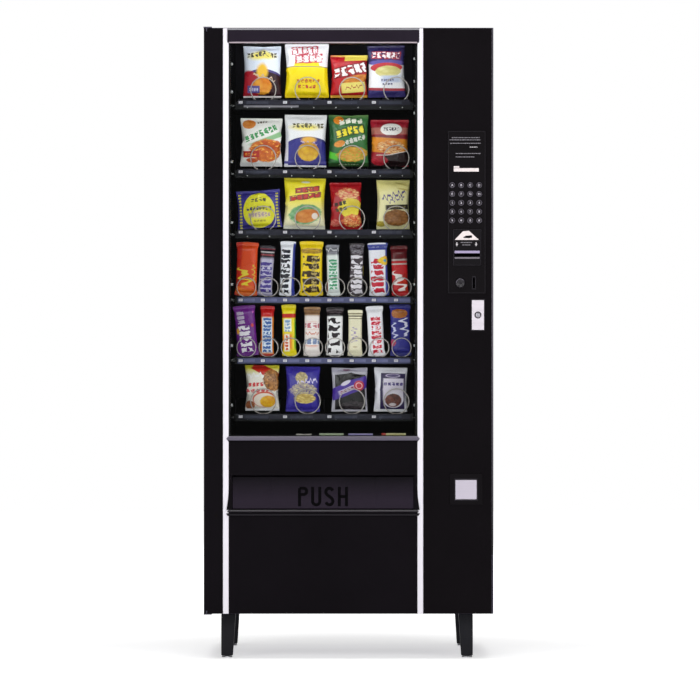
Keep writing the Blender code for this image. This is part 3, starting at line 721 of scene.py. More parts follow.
def flat_letter(name, lines, centre, thick, mat, body, depth):
    """A raised letter swept along flat centre lines, each a list of (x, z) points, with square section."""
    bm = bmesh.new()
    for line in lines:
        closed = line[0] == line[-1]
        n = len(line)
        ring = []
        for i, (x, z) in enumerate(line):
            p = Vector((x, 0, z))
            if closed:
                a = Vector((line[i - 1 if i else n - 2][0], 0, line[i - 1 if i else n - 2][1]))
                b = Vector((line[i + 1 if i < n - 1 else 1][0], 0, line[i + 1 if i < n - 1 else 1][1]))
            else:
                a = Vector((line[max(i - 1, 0)][0], 0, line[max(i - 1, 0)][1]))
                b = Vector((line[min(i + 1, n - 1)][0], 0, line[min(i + 1, n - 1)][1]))
            da, db = p - a, b - p
            if da.length < 1e-9:
                da = db
            if db.length < 1e-9:
                db = da
            da.normalize()
            db.normalize()
            t = (da + db).normalized()
            s = Vector((-t.z, 0, t.x))
            k = 1 / max(0.6, abs(t.dot(da)))
            off = s * thick / 2 * k
            ring.append([
                bm.verts.new((Vector(centre) + p + off) * MM),
                bm.verts.new((Vector(centre) + p - off) * MM),
                bm.verts.new((Vector(centre) + p - off + Vector((0, depth, 0))) * MM),
                bm.verts.new((Vector(centre) + p + off + Vector((0, depth, 0))) * MM),
            ])
        for a, b in zip(ring, ring[1:]):
            for q in range(4):
                r = (q + 1) % 4
                bm.faces.new((a[q], a[r], b[r], b[q]))
        if not closed:
            bm.faces.new(ring[0])
            bm.faces.new(list(reversed(ring[-1])))
    bmesh.ops.remove_doubles(bm, verts=bm.verts, dist=1e-6)
    for q in bm.verts:
        q.co.y += (flap_front(q.co.z / MM) - flap_front(470.0)) * MM
    bmesh.ops.recalc_face_normals(bm, faces=bm.faces)
    return piece(name, bm, mat, body, bevel=0.5, segs=2)


HW, HH, TH = 10.3, 24.0, 8.6
base_y = flap_front(470.0) - 1.1
letters = {
    "P": [[(-HW, -HH - 4), (-HW, HH)], [(-HW, HH), (HW - 7, HH)] + arc_pts(HW - 8, HH - 9, 8, 9, 80, -80, 6) + [(HW - 9, 2 * 0 + HH - 18 + 0), (-HW, HH - 18)]],
    "U": [[(-HW, HH + 4)] + arc_pts(0, -HH + 10, HW, 10, 180, 360, 10) + [(HW, HH + 4)]],
    "S": [arc_pts(0, HH - 11, HW, 11, 20, 180, 7) + [(-HW + 1, HH - 15), (-HW + 5, HH - 20), (0, 0), (HW - 5, -HH + 20), (HW - 1, -HH + 15)] + arc_pts(0, -HH + 11, HW, 11, 0, -160, 7)],
    "H": [[(-HW, -HH - 4), (-HW, HH + 4)], [(HW, -HH - 4), (HW, HH + 4)], [(-HW, 0), (HW, 0)]],
}
for ch, cx in (("P", -131.8), ("U", -93.8), ("S", -55.8), ("H", -16.6)):
    flat_letter(f"flap_letter_{ch}", letters[ch], (cx, base_y, 470.0), TH, M["flap_dark"], "delivery_flap_body", 2.2)

# ------------------------------------------------------------------ control side
bm = bmesh.new()
add_box(bm, (286.0, -443.0, 1056.5), (397.0, -440.8, 1528.5))
bez = piece("selection_bezel_skin", bm, M["bezel"], "door")
carve(bez, [((289.3, -442.0, 1059.8), (393.7, -428.0, 1525.2))], kind="UNION")
carve(bez, [((302.0, -460.0, 1138.0), (383.5, -410.0, 1243.0)), ((359.7, -460.0, 1072.0), (364.9, -410.0, 1104.0))],
      [dict(centre=(x, -441.5, z), radius=8.75, length=20.0, sides=40) for z in KEY_Z for x in KEY_X]
      + [dict(centre=(322.8, -436.0, 1087.6), radius=14.4, length=40.0, sides=48)])
soften(bez, 0.5, 2)
bez.data.shade_smooth()
bez.data.set_sharp_from_angle(angle=math.radians(30))
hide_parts("selection_bezel")


def rim(name, x0, x1, z0, z1, width, y0, y1, mat, body, bevel=0.3):
    return boxes(name, [
        ((x0, y0, z0), (x1, y1, z0 + width)), ((x0, y0, z1 - width), (x1, y1, z1)),
        ((x0, y0, z0 + width), (x0 + width, y1, z1 - width)), ((x1 - width, y0, z0 + width), (x1, y1, z1 - width)),
    ], mat, body, bevel)


rim("bezel_outline", 288.0, 395.0, 1058.5, 1526.5, 1.1, -443.5, -443.0, M["bezel_line"], "door", 0.15)

rnd = random.Random(7)


def greek(name, x0, x1, z, tall, mat, y=-443.4):
    """A line of plain dashes where the small print sits."""
    spans = []
    x = x0
    while x < x1 - 1.0:
        w = min(rnd.uniform(2.2, 8.5), x1 - x)
        spans.append(((x, y, z - tall / 2), (x + w, y + 0.4, z + tall / 2)))
        x += w + 1.3
    boxes(name, spans, mat, "door", 0.0)


def pz(py):
    return 893.8 + (350 - py) * 2.899


def px(v):
    return 3.9 + (v - 350) * 2.899


for i, (a, b, y) in enumerate(((451.5, 479.5, 138.2), (449.5, 480.5, 140.4), (450.0, 480.5, 143.8), (469.5, 477.0, 147.6), (455.5, 480.5, 154.0), (455.5, 474.0, 157.4))):
    greek(f"print_line_{i}", px(a), px(b), pz(y), 2.2, M["dim_print"] if i != 3 else M["white_print"])
boxes("plain_badge", [((px(453.5), -443.8, pz(172.0)), (px(478.5), -443.2, pz(168.6)))], M["label_white"], "door", 0.3)
boxes("plain_badge_block", [((px(453.5), -443.8, pz(168.2)), (px(459.0), -443.2, pz(166.6)))], M["label_white"], "door", 0.2)

LEGENDS = ("ABCD", "EFGH", "1234", "5678", "9*0#")
for r, z in enumerate(KEY_Z, 1):
    for c, x in enumerate(KEY_X, 1):
        name = f"key_{r}_{c}"
        body = name + "_body"
        cap = turned(name + "_cap", [(0, 12.7), (3.0, 12.6), (5.2, 12.2), (6.4, 11.5), (6.6, 10.9), (7.3, 10.9), (8.0, 10.3), (8.35, 9.4), (8.35, 0.2), (8.0, 0), (0, 0)],
                     (x, -434.0, z), M["key"], body, 36, 45)
        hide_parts(name)
        # a lighter ring round each key's crown as a painted highlight
        ringo = turned(name + "_ring", [(6.75, 10.95), (6.9, 11.5), (7.5, 11.45), (7.9, 10.7), (7.7, 10.4)], (x, -434.0, z), M["key_ring"], body, 36, 60)
        sol = ringo.modifiers.new("skin", "SOLIDIFY")
        sol.thickness = 0.0003
        sol.offset = 0.0
        words(name + "_legend", LEGENDS[r - 1][c - 1], (x, -446.75, z), 6.6, M["legend"], body, 0.25, 0.018)

# bill validator
bm = bmesh.new()
add_box(bm, (302.3, -444.0, 1138.3), (383.2, -330.0, 1242.7))
val = piece("bill_validator_skin", bm, M["validator"], "door")
carve(val, [((307.0, -460.0, 1163.0), (378.5, -372.0, 1173.0))])
soften(val, 0.7, 2)
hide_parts("bill_validator")
rim("validator_rim", 302.4, 383.1, 1138.5, 1242.5, 1.6, -445.0, -443.9, M["bezel_line"], "door", 0.3)


def prism(name, outline, y0, y1, mat, body, bevel=0.2):
    bm = bmesh.new()
    a = [bm.verts.new((x * MM, y0 * MM, z * MM)) for x, z in outline]
    b = [bm.verts.new((x * MM, y1 * MM, z * MM)) for x, z in outline]
    bm.faces.new(a)
    bm.faces.new(list(reversed(b)))
    for i in range(len(a)):
        j = (i + 1) % len(a)
        bm.faces.new((a[i], b[i], b[j], a[j]))
    bmesh.ops.recalc_face_normals(bm, faces=bm.faces)
    return piece(name, bm, mat, body, bevel=bevel, segs=1)


prism("note_guide", [(px(454.4), pz(240.2)), (px(462.6), pz(231.6)), (px(468.6), pz(231.0)), (px(478.6), pz(240.2))], -444.8, -444.1, M["label_white"], "door")
prism("note_mark", [(px(462.5), pz(238.0)), (px(465.5), pz(236.0)), (px(471.5), pz(235.6)), (px(471.8), pz(237.8)), (px(468.6), pz(238.6))], -445.1, -444.7, M["validator"], "door", 0.0)
for i, ax in enumerate((456.6, 475.8)):
    cx = px(ax)
    prism(f"note_arrow_{i}", [(cx - 1.6, pz(242.6)), (cx + 1.6, pz(242.6)), (cx + 1.6, pz(244.2)), (cx + 3.6, pz(244.2)), (cx, pz(246.8)), (cx - 3.6, pz(244.2)), (cx - 1.6, pz(244.2))],
          -444.8, -444.1, M["white_print"], "door", 0.0)
for i, (a, b, y) in enumerate(((460.5, 471.5, 242.8), (462.0, 470.0, 245.2))):
    greek(f"note_print_{i}", px(a), px(b), pz(y), 2.4, M["dim_print"], -444.5)
boxes("note_slot_upper", [((px(454.3), -446.0, 1173.6), (px(479.4), -444.0, 1181.0))], M["bar_purple"], "door", 0.9, 3)
boxes("note_slot_lower", [((px(454.3), -446.6, 1157.6), (px(479.4), -444.0, 1162.6))], M["bar_grey"], "door", 0.9, 3)

# coin return button and coin slot
btn = turned("coin_return_cap", [(0, 12.0), (9.0, 12.1), (10.6, 12.9), (12.6, 12.9), (13.6, 12.0), (14.0, 10.6), (14.0, 0.3), (13.6, 0), (0, 0)],
             (322.8, -434.0, 1087.6), M["key"], "coin_return_body", 48, 40)
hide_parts("coin_return_button")
# a lighter arc on the upper left of the coin return button: a painted crescent highlight
bm = bmesh.new()
for i in range(14):
    a0, a1 = math.radians(40 + 10 * i), math.radians(40 + 10 * (i + 1))
    quad = [(r * math.cos(a) * MM, r * math.sin(a) * MM) for r, a in ((11.0, a0), (12.3, a0), (12.3, a1), (11.0, a1))]
    f = [bm.verts.new((322.8 * MM + x, -447.1 * MM, 1087.6 * MM + z)) for x, z in quad]
    g = [bm.verts.new((322.8 * MM + x, -446.7 * MM, 1087.6 * MM + z)) for x, z in quad]
    bm.faces.new(f)
    bm.faces.new(list(reversed(g)))
    for k in range(4):
        j = (k + 1) % 4
        bm.faces.new((f[k], g[k], g[j], f[j]))
bmesh.ops.remove_doubles(bm, verts=bm.verts, dist=1e-6)
bmesh.ops.recalc_face_normals(bm, faces=bm.faces)
piece("coin_return_arc", bm, M["key_ring"], "coin_return_body")
rim("coin_slot_rim", 356.4, 368.2, 1069.0, 1107.0, 3.0, -444.6, -443.0, M["bezel_line"], "door", 0.8)

# lock handle
bm = bmesh.new()
add_box(bm, (373.7 - 17.5, -451.6, 952.0), (373.7 + 17.5, -444.6, 1038.0))
plate = piece("lock_handle_skin", bm, M["silver"], "lock_handle_body")
carve(plate, [], [dict(centre=(373.7, -452.0, 995.0), radius=10.2, length=3.0, sides=48)])
soften(plate, 2.2, 4)
plate.data.shade_smooth()
plate.data.set_sharp_from_angle(angle=math.radians(40))
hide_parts("lock_handle")
turned("lock_cylinder", [(0, 1.0), (5.4, 1.0), (5.9, 0.6), (6.2, 0), (0, 0)], (373.7, -450.6, 995.0), M["zinc"], "lock_handle_body")
ring = turned("lock_ring", [(6.8, 0.2), (7.2, 0.9), (9.2, 0.9), (9.8, 0.2)], (373.7, -450.6, 995.0), M["bezel_line"], "lock_handle_body")
sol = ring.modifiers.new("skin", "SOLIDIFY")
sol.thickness = 0.0004
boxes("lock_keyway", [((373.0, -451.75, 991.0), (374.4, -451.55, 999.0))], M["validator"], "lock_handle_body", 0.0)
bm = bmesh.new()
add_rod(bm, (373.7, -418.15, 995.0), 13.5, 52.3, "Y", 40)
barrel = piece("handle_barrel_skin", bm, M["zinc"], "handle_barrel_body", bevel=0.8)
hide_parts("handle_barrel")
rim("handle_surround", 353.0, 394.4, 948.6, 1041.4, 2.0, -441.4, -440.5, M["bezel_line"], "door", 0.4)

# coin cup
bm = bmesh.new()
add_box(bm, (292.0, -443.0, 446.0), (388.0, -440.8, 536.0))
cup = piece("coin_cup_skin", bm, M["bezel"], "door")
carve(cup, [((304.0, -442.0, 455.0), (374.0, -385.0, 524.0))], kind="UNION")
carve(cup, [((307.6, -460.0, 460.0), (371.4, -389.0, 520.0))])
soften(cup, 1.4, 3)
cup.data.shade_smooth()
cup.data.set_sharp_from_angle(angle=math.radians(35))
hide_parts("coin_cup")
rim("coin_cup_rim", 305.4, 373.6, 457.8, 522.2, 2.0, -443.6, -443.0, M["bezel_line"], "door", 0.3)
bm = bmesh.new()
add_box(bm, (308.6, -442.4, 461.8), (370.4, -440.0, 518.2))
cf = piece("coin_cup_flap_skin", bm, M["flap_steel"], "coin_cup_flap_body", bevel=0.9, segs=3)
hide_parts("coin_cup_flap")
bm = bmesh.new()
add_rod(bm, (339.5, -440.6, 516.6), 1.6, 61.0, "X", 20)
piece("coin_cup_flap_pin", bm, M["zinc"], "coin_cup_flap_body", smooth=True)


# ------------------------------------------------------------------ trays, coils, tags
def coil_points(k, cx, floor):
    per = 20
    start, end = TRAY_FRONT_Y + 6.0, TRAY_REAR_Y - 30.0
    n = k["turns"] * per
    pts = []
    for i in range(n + 1):
        t = i / per
        ang = -math.pi / 2 + 2 * math.pi * t
        if t <= 1:
            y = start + k["flat"] * t
        else:
            y = start + k["step"] + (end - start - k["step"]) * (t - 1.05) / (k["turns"] - 1.05)
        pts.append((cx + k["ring"] * math.cos(ang), y, floor + k["height"] + k["ring"] * math.sin(ang)))
    last = pts[-1]
    for share, on in ((0.85, 1.5), (0.55, 5.0), (0.3, 7.0), (0.12, 9.0), (0.03, 11.5), (0.0, 15.0)):
        pts.append((cx + (last[0] - cx) * share, end + on, floor + k["height"] + (last[2] - floor - k["height"]) * share))
    pts.append((cx, TRAY_REAR_Y + 12.0, floor + k["height"]))
    return pts


def column_centre(tray, col):
    n = COLUMNS[tray]
    pitch = (TRAY_R - (TRAY_L + 2)) / n
    return TRAY_L + 2 + col * pitch + (pitch - 2) / 2, pitch


for t, (floor, n) in enumerate(zip(FLOORS, COLUMNS)):
    body = f"tray_{t+1}_body"
    skin = piece(f"tray_{t+1}_skin", tidy_copy(f"tray_{t+1}"), M["tray"], body)
    carve(skin, [((TRAY_L - 5, TRAY_FRONT_Y - 5, floor + 4.0), (TRAY_R + 5, -228.0 if n == 4 else -249.0, floor + 60.0))])
    soften(skin, 0.4, 1)
    skin.data.shade_smooth()
    skin.data.set_sharp_from_angle(angle=math.radians(35))
    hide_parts(f"tray_{t+1}")
    k = CHIP if n == 4 else CANDY
    first = None
    for c in range(n):
        cx, pitch = column_centre(t, c)
        cx += k["shift"]
        if c == 0:
            first = tube(f"coil_{t+1}_fine", coil_points(k, cx, floor), k["wire"] * 0.78, M["wire"], f"coil_{t+1}_body")
            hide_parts(f"coil_{t+1}")
            home = cx
        else:
            twin = link(bpy.data.objects.new(f"coil_{t+1}_col_{c+1}", first.data))
            twin.location.x = (cx - home) * MM
            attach(twin, body)
        # the motor behind each column
    spans = []
    for c in range(n):
        cx, pitch = column_centre(t, c)
        cx += k["shift"]
        h = k["height"]
        w = 22.0 if n == 4 else 20.0
        spans.append(((cx - w, 342.5, floor + h - 24), (cx + w, 372.0, floor + h + 20)))
    mot = boxes(f"coil_motors_{t+1}", spans, M["motor"], body, 2.0, 2)
    # tag rail along the tray's front lip
    rail = M["tag_rail_candy"] if n == 8 else M["tag_rail"]
    tag_z = TAG_Z[t]
    z0, z1 = tag_z - 6.6, tag_z + 6.6
    rail_spans = [((TRAY_L + 8, -287.0, z0), (TRAY_R - 8, -285.1, z1))]
    boxes(f"tag_rail_{t+1}", rail_spans, rail, body, 0.5, 2)
    boxes(f"tag_rail_lips_{t+1}", [
        ((TRAY_L + 8, -288.2, z0 - 1.5), (TRAY_R - 8, -285.1, z0 + 0.6)), ((TRAY_L + 8, -288.2, z1 - 0.6), (TRAY_R - 8, -285.1, z1 + 1.5))
    ], rail, body, 0.4, 2)
    tags, inks = [], []
    for c in range(n):
        cx, pitch = column_centre(t, c)
        left = cx - (pitch - 2) / 2
        tx = left + 15.0
        tags.append(((tx - 5.8, -288.3, tag_z - 3.6), (tx + 5.8, -287.1, tag_z + 3.9)))
        inks.append(((tx - 3.6, -288.45, tag_z - 1.4), (tx + 2.6, -288.25, tag_z - 0.5)))
        inks.append(((tx - 3.6, -288.45, tag_z + 0.8), (tx + 3.6, -288.25, tag_z + 1.7)))
    boxes(f"price_tags_{t+1}", tags, M["tag"], body, 0.4, 2)
    boxes(f"price_tag_marks_{t+1}", inks, M["tag_ink"], body, 0.0)
    if n == 4:
        holders = []
        for c in range(n):
            cx, pitch = column_centre(t, c)
            left = cx - (pitch - 2) / 2
            holders.append(((left + 30.0, -288.0, tag_z - 4.6), (left + 96.0, -287.05, tag_z + 3.4)))
        boxes(f"tag_holders_{t+1}", holders, M["tag_card"], body, 0.4, 2)
        bm = bmesh.new()
        for q in range(8):
            add_rod(bm, (-295.5 + 64.6 * q, -285.6, floor - 12.0), 1.7, 2.2, "Y", 16)
        piece(f"lip_rivets_{t+1}", bm, M["stud"], body, bevel=0.5)
    else:
        cards = []
        for c in range(n):
            cx, pitch = column_centre(t, c)
            left = cx - (pitch - 2) / 2
            cards.append(((left + 24.0, -287.8, tag_z - 4.4), (left + 56.0, -287.05, tag_z + 4.2)))
        boxes(f"tag_holders_{t+1}", cards, M["tag_card_candy"], body, 0.4, 2)
boxes("shelf_edge_strip", [((-306.0, -286.4, 1601.5), (-146.0, -285.1, 1607.2))], M["shelf_strip"], "tray_1_body", 0.5, 2)


# ------------------------------------------------------------------ snack wrappers
class Art(Graph):
    """Printed film. u runs 0 to 1 across the pack and v 0 to ratio up it; v below is a share of the height."""

    def __init__(self, name, base, ratio, rough=0.27, metal=0.0, crimp=0.06):
        super().__init__(name, rgb(base), rough, metal, 1.5, spec=0.3)
        self.ratio = ratio
        self.uv = self.coords("UV")
        self.col = rgb(base)
        self.seed = 0
        sep = self.node("ShaderNodeSeparateXYZ")
        self.put(sep.inputs[0], self.uv)
        self.u, self.v = sep.outputs[0], sep.outputs[1]
        self.crimp = crimp

    def local(self, u, v, w, h, turn=0.0):
        m = self.node("ShaderNodeMapping", vector_type="TEXTURE")
        self.put(m.inputs["Vector"], self.uv)
        m.inputs["Location"].default_value = (u, v * self.ratio, 0)
        m.inputs["Rotation"].default_value = (0, 0, math.radians(-turn))
        m.inputs["Scale"].default_value = (w / 2, h * self.ratio / 2, 1)
        return m.outputs["Vector"]

    def split(self, vec):
        s = self.node("ShaderNodeSeparateXYZ")
        self.put(s.inputs[0], vec)
        return s.outputs[0], s.outputs[1]

    def over(self, mask, colour):
        self.col = self.mix(mask, self.col, rgb(colour) if isinstance(colour, str) else colour)
        return self

    def box_mask(self, vec, soft=0.06):
        x, y = self.split(vec)
        m = self.math("MAXIMUM", self.math("ABSOLUTE", x), self.math("ABSOLUTE", y))
        return self.remap(m, 1 - soft, 1, 1, 0)

    def ell_mask(self, vec, soft=0.06, ragged=0.0, scale=2.5):
        if ragged:
            wob = self.noise(vec, scale, 3.0, 0.6, "Color")
            add = self.node("ShaderNodeVectorMath", operation="MULTIPLY_ADD")
            self.put(add.inputs[0], wob)
            add.inputs[1].default_value = (ragged, ragged, 0)
            self.put(add.inputs[2], vec)
            sub = self.node("ShaderNodeVectorMath", operation="SUBTRACT")
            self.put(sub.inputs[0], add.outputs[0])
            sub.inputs[1].default_value = (ragged / 2, ragged / 2, 0)
            vec = sub.outputs[0]
        s = self.node("ShaderNodeVectorMath", operation="MULTIPLY")
        self.put(s.inputs[0], vec)
        s.inputs[1].default_value = (1, 1, 0)
        ln = self.node("ShaderNodeVectorMath", operation="LENGTH")
        self.put(ln.inputs[0], s.outputs[0])
        return self.remap(ln.outputs["Value"], 1 - soft, 1, 1, 0)

    def rect(self, u, v, w, h, colour, turn=0.0, soft=0.06):
        return self.over(self.box_mask(self.local(u, v, w, h, turn), soft), colour)

    def band(self, v0, v1, colour, turn=0.0, soft=0.04):
        return self.rect(0.5, (v0 + v1) / 2, 3.0, v1 - v0, colour, turn, soft)

    def ell(self, u, v, w, h, colour, turn=0.0, soft=0.06):
        return self.over(self.ell_mask(self.local(u, v, w, h, turn), soft), colour)

    def ring(self, u, v, w, h, colour, thick=0.12, turn=0.0):
        vec = self.local(u, v, w, h, turn)
        ln = self.node("ShaderNodeVectorMath", operation="LENGTH")
        self.put(ln.inputs[0], vec)
        off = self.math("ABSOLUTE", self.math("SUBTRACT", ln.outputs["Value"], 1 - thick / 2))
        return self.over(self.remap(off, thick / 2 * 0.8, thick / 2, 1, 0), colour)

    def mark(self, u, v, w, h, colour, turn=0.0, n=6, fill=0.42, edge=None):
        """A row of plain ink dabs with soft uneven outlines, where a wrapper carries its print."""
        self.seed += 1
        vec = self.local(u, v, w, h, turn)
        wob = self.noise(vec, 2.6, 1.0, 0.5, "Color")
        add = self.node("ShaderNodeVectorMath", operation="MULTIPLY_ADD")
        self.put(add.inputs[0], wob)
        add.inputs[1].default_value = (0.16, 0.5, 0)
        self.put(add.inputs[2], vec)
        x, y = self.split(add.outputs[0])
        x = self.math("SUBTRACT", x, 0.08)
        y = self.math("SUBTRACT", y, 0.25)
        t = self.math("MULTIPLY_ADD", x, n / 2, n / 2)
        gap = self.math("ABSOLUTE", self.math("SUBTRACT", self.math("FRACT", t), 0.5))
        comb = self.node("ShaderNodeCombineXYZ")
        self.put(comb.inputs[0], self.math("MULTIPLY", t, 1.6))
        self.put(comb.inputs[1], self.math("MULTIPLY", y, 1.9))
        comb.inputs[2].default_value = 3.7 * self.seed + len(self.mat.name)
        blob = self.noise(comb.outputs[0], 1.0, 1.0, 0.4)
        # a rough distance to the edge of each dab, rounded where its limits meet
        side = self.math("SUBTRACT", 0.43, gap)
        top = self.math("MULTIPLY", self.math("SUBTRACT", 0.88, self.math("ABSOLUTE", y)), 0.6)
        hole = self.math("MULTIPLY", self.math("SUBTRACT", blob, fill), 2.4)
        ends = self.math("MULTIPLY", self.math("SUBTRACT", 0.98, self.math("ABSOLUTE", x)), n / 3)
        near = self.math("SMOOTH_MIN", self.math("SMOOTH_MIN", side, top, 0.22), hole, 0.22)
        near = self.math("MINIMUM", near, ends)
        if edge:
            self.over(self.remap(near, -0.13, -0.08, 0, 1), edge)
        return self.over(self.remap(near, 0.02, 0.07, 0, 1), colour)

    def vmark(self, u, v, wide, long, colour, turn=0.0, n=6, fill=0.42, edge=None):
        """The same print running up the pack. wide is a share of the width and long a share of the height."""
        return self.mark(u, v, long * self.ratio, wide / self.ratio, colour, turn - 90, n, fill, edge)

    def vsquig(self, u, v, wide, long, colour, turn=0.0, waves=4.0, thick=0.3):
        return self.squig(u, v, long * self.ratio, wide / self.ratio, colour, turn - 90, waves, thick)

    def squig(self, u, v, w, h, colour, turn=0.0, waves=3.0, thick=0.34):
        """A hand-drawn looping line."""
        self.seed += 1
        vec = self.local(u, v, w, h, turn)
        x, y = self.split(vec)
        a = self.math("SINE", self.math("MULTIPLY_ADD", x, waves * math.pi, self.seed * 1.3))
        b = self.math("SINE", self.math("MULTIPLY_ADD", x, waves * 1.7 * math.pi, self.seed * 2.1))
        path = self.math("MULTIPLY_ADD", a, 0.45, self.math("MULTIPLY", b, 0.28))
        d = self.math("ABSOLUTE", self.math("SUBTRACT", y, path))
        near = self.remap(d, thick * 0.75, thick, 1, 0)
        ends = self.remap(self.math("ABSOLUTE", x), 0.93, 1.0, 1, 0)
        return self.over(self.math("MULTIPLY", near, ends), colour)

    def food(self, u, v, w, h, c1, c2, turn=0.0, ragged=0.7, cells=4.0, c3=None):
        """A heap of chips, cookies or nuts as uneven patches of colour."""
        self.seed += 1
        vec = self.local(u, v, w, h, turn)
        mask = self.ell_mask(vec, 0.1, ragged, 2.2)
        vor = self.node("ShaderNodeTexVoronoi", feature="F1")
        self.put(vor.inputs["Vector"], vec)
        vor.inputs["Scale"].default_value = cells
        tone = self.mix(self.remap(vor.outputs["Distance"], 0.1, 0.75, 0, 1), rgb(c1), rgb(c2))
        if c3:
            spots = self.noise(vec, cells * 1.7, 2.0, 0.5)
            tone = self.mix(self.remap(spots, 0.56, 0.62, 0, 1), tone, rgb(c3))
        return self.over(mask, tone)

    def dots(self, u, v, w, h, colour, n=6.0, turn=0.0):
        vec = self.local(u, v, w, h, turn)
        x, y = self.split(vec)
        f = self.math("ABSOLUTE", self.math("SUBTRACT", self.math("FRACT", self.math("MULTIPLY", y, n)), 0.5))
        on = self.math("MULTIPLY", self.remap(f, 0.25, 0.3, 1, 0), self.box_mask(vec, 0.05))
        return self.over(on, colour)

    def fade(self, v0, v1, colour):
        return self.over(self.remap(self.v, v0 * self.ratio, v1 * self.ratio, 0, 1), colour)

    def done(self, wrinkle=1.0):
        """Crimped seals, a worn and crinkled film, and the colour into the shader."""
        low = self.remap(self.v, self.crimp * self.ratio * 0.9, self.crimp * self.ratio, 1, 0)
        high = self.remap(self.v, self.ratio * (1 - self.crimp), self.ratio * (1 - self.crimp * 0.9), 0, 1)
        seal = self.math("MAXIMUM", low, high)
        rib = self.math("SINE", self.math("MULTIPLY", self.u, 210.0))
        at = self.coords()
        fold = self.noise(at, 42.0, 3.0, 0.55)
        crease = self.math("ABSOLUTE", self.math("SUBTRACT", self.noise(self.stretch((1, 1, 0.6)), 26.0, 2.0, 0.5), 0.5))
        h = self.math("MULTIPLY_ADD", fold, 0.6, self.math("MULTIPLY", self.remap(crease, 0.0, 0.05, 0.0, 0.35), 1.0))
        h = self.math("MULTIPLY_ADD", self.math("MULTIPLY", rib, seal), 0.14, h)
        self.bump(h, 0.55 * wrinkle, 0.0016)
        self.polish(self.remap(self.noise(at, 18.0, 3.0), 0.3, 0.7, self.rough - 0.07, self.rough + 0.1))
        self.paint(self.col)
        return self.mat


# ---- the shapes of the packs
NU, NV = 26, 34


def pillow_start(w, h, puff, seed):
    """A flat pillow of two layers welded round the border, a little open so the air has room to push."""
    r = random.Random(seed)
    off = Vector((r.uniform(0, 50), r.uniform(0, 50), 0))
    verts, index = [], {}
    for side in (0, 1):
        for j in range(NV + 1):
            for i in range(NU + 1):
                edge = i in (0, NU) or j in (0, NV)
                if edge and side:
                    index[side, i, j] = index[0, i, j]
                    continue
                u, v = i / NU, j / NV
                bulge = 0.0 if edge else puff * (math.sin(math.pi * u) * math.sin(math.pi * v)) ** 0.6
                bulge *= 1 + 0.5 * noise.noise(Vector((u * 4, v * 5, side * 9.0)) + off)
                index[side, i, j] = len(verts)
                verts.append(((u - 0.5) * w, (bulge if side else -bulge), (v - 0.5) * h))
    faces = []
    for side in (0, 1):
        for j in range(NV):
            for i in range(NU):
                q = [index[side, i, j], index[side, i + 1, j], index[side, i + 1, j + 1], index[side, i, j + 1]]
                faces.append(q if side == 0 else q[::-1])
    return verts, faces, index


def inflate(seed, w=0.130, h=0.165, press=9.0):
    """Blows the pillow up as cloth and gives back its points."""
    verts, faces, index = pillow_start(w, h, 0.004, seed)
    mesh = bpy.data.meshes.new("air_bag")
    mesh.from_pydata(verts, [], faces)
    obj = link(bpy.data.objects.new("air_bag", mesh))
    mod = obj.modifiers.new("cloth", "CLOTH")
    s = mod.settings
    s.quality = 8
    s.mass = 0.08
    s.air_damping = 3.0
    s.tension_stiffness = s.compression_stiffness = 28.0
    s.shear_stiffness = 12.0
    s.bending_stiffness = 0.06
    s.tension_damping = s.compression_damping = s.shear_damping = 12.0
    s.bending_damping = 1.0
    s.use_pressure = True
    s.uniform_pressure_force = press
    s.effector_weights.gravity = 0.0
    mod.collision_settings.use_collision = False
    mod.point_cache.frame_start, mod.point_cache.frame_end = 1, 30
    sc = bpy.context.scene
    for f in range(1, 27):
        sc.frame_set(f)
    dg = bpy.context.evaluated_depsgraph_get()
    ev = obj.evaluated_get(dg)
    got = ev.to_mesh()
    co = np.array([v.co[:] for v in got.vertices])
    ev.to_mesh_clear()
    sc.frame_set(1)
    bpy.data.objects.remove(obj, do_unlink=True)
    return co, faces, index


SHAPES = [inflate(11, press=9.0), inflate(23, press=12.0), inflate(37, w=0.125, h=0.16, press=7.0), inflate(58, w=0.14, h=0.15, press=10.0)]


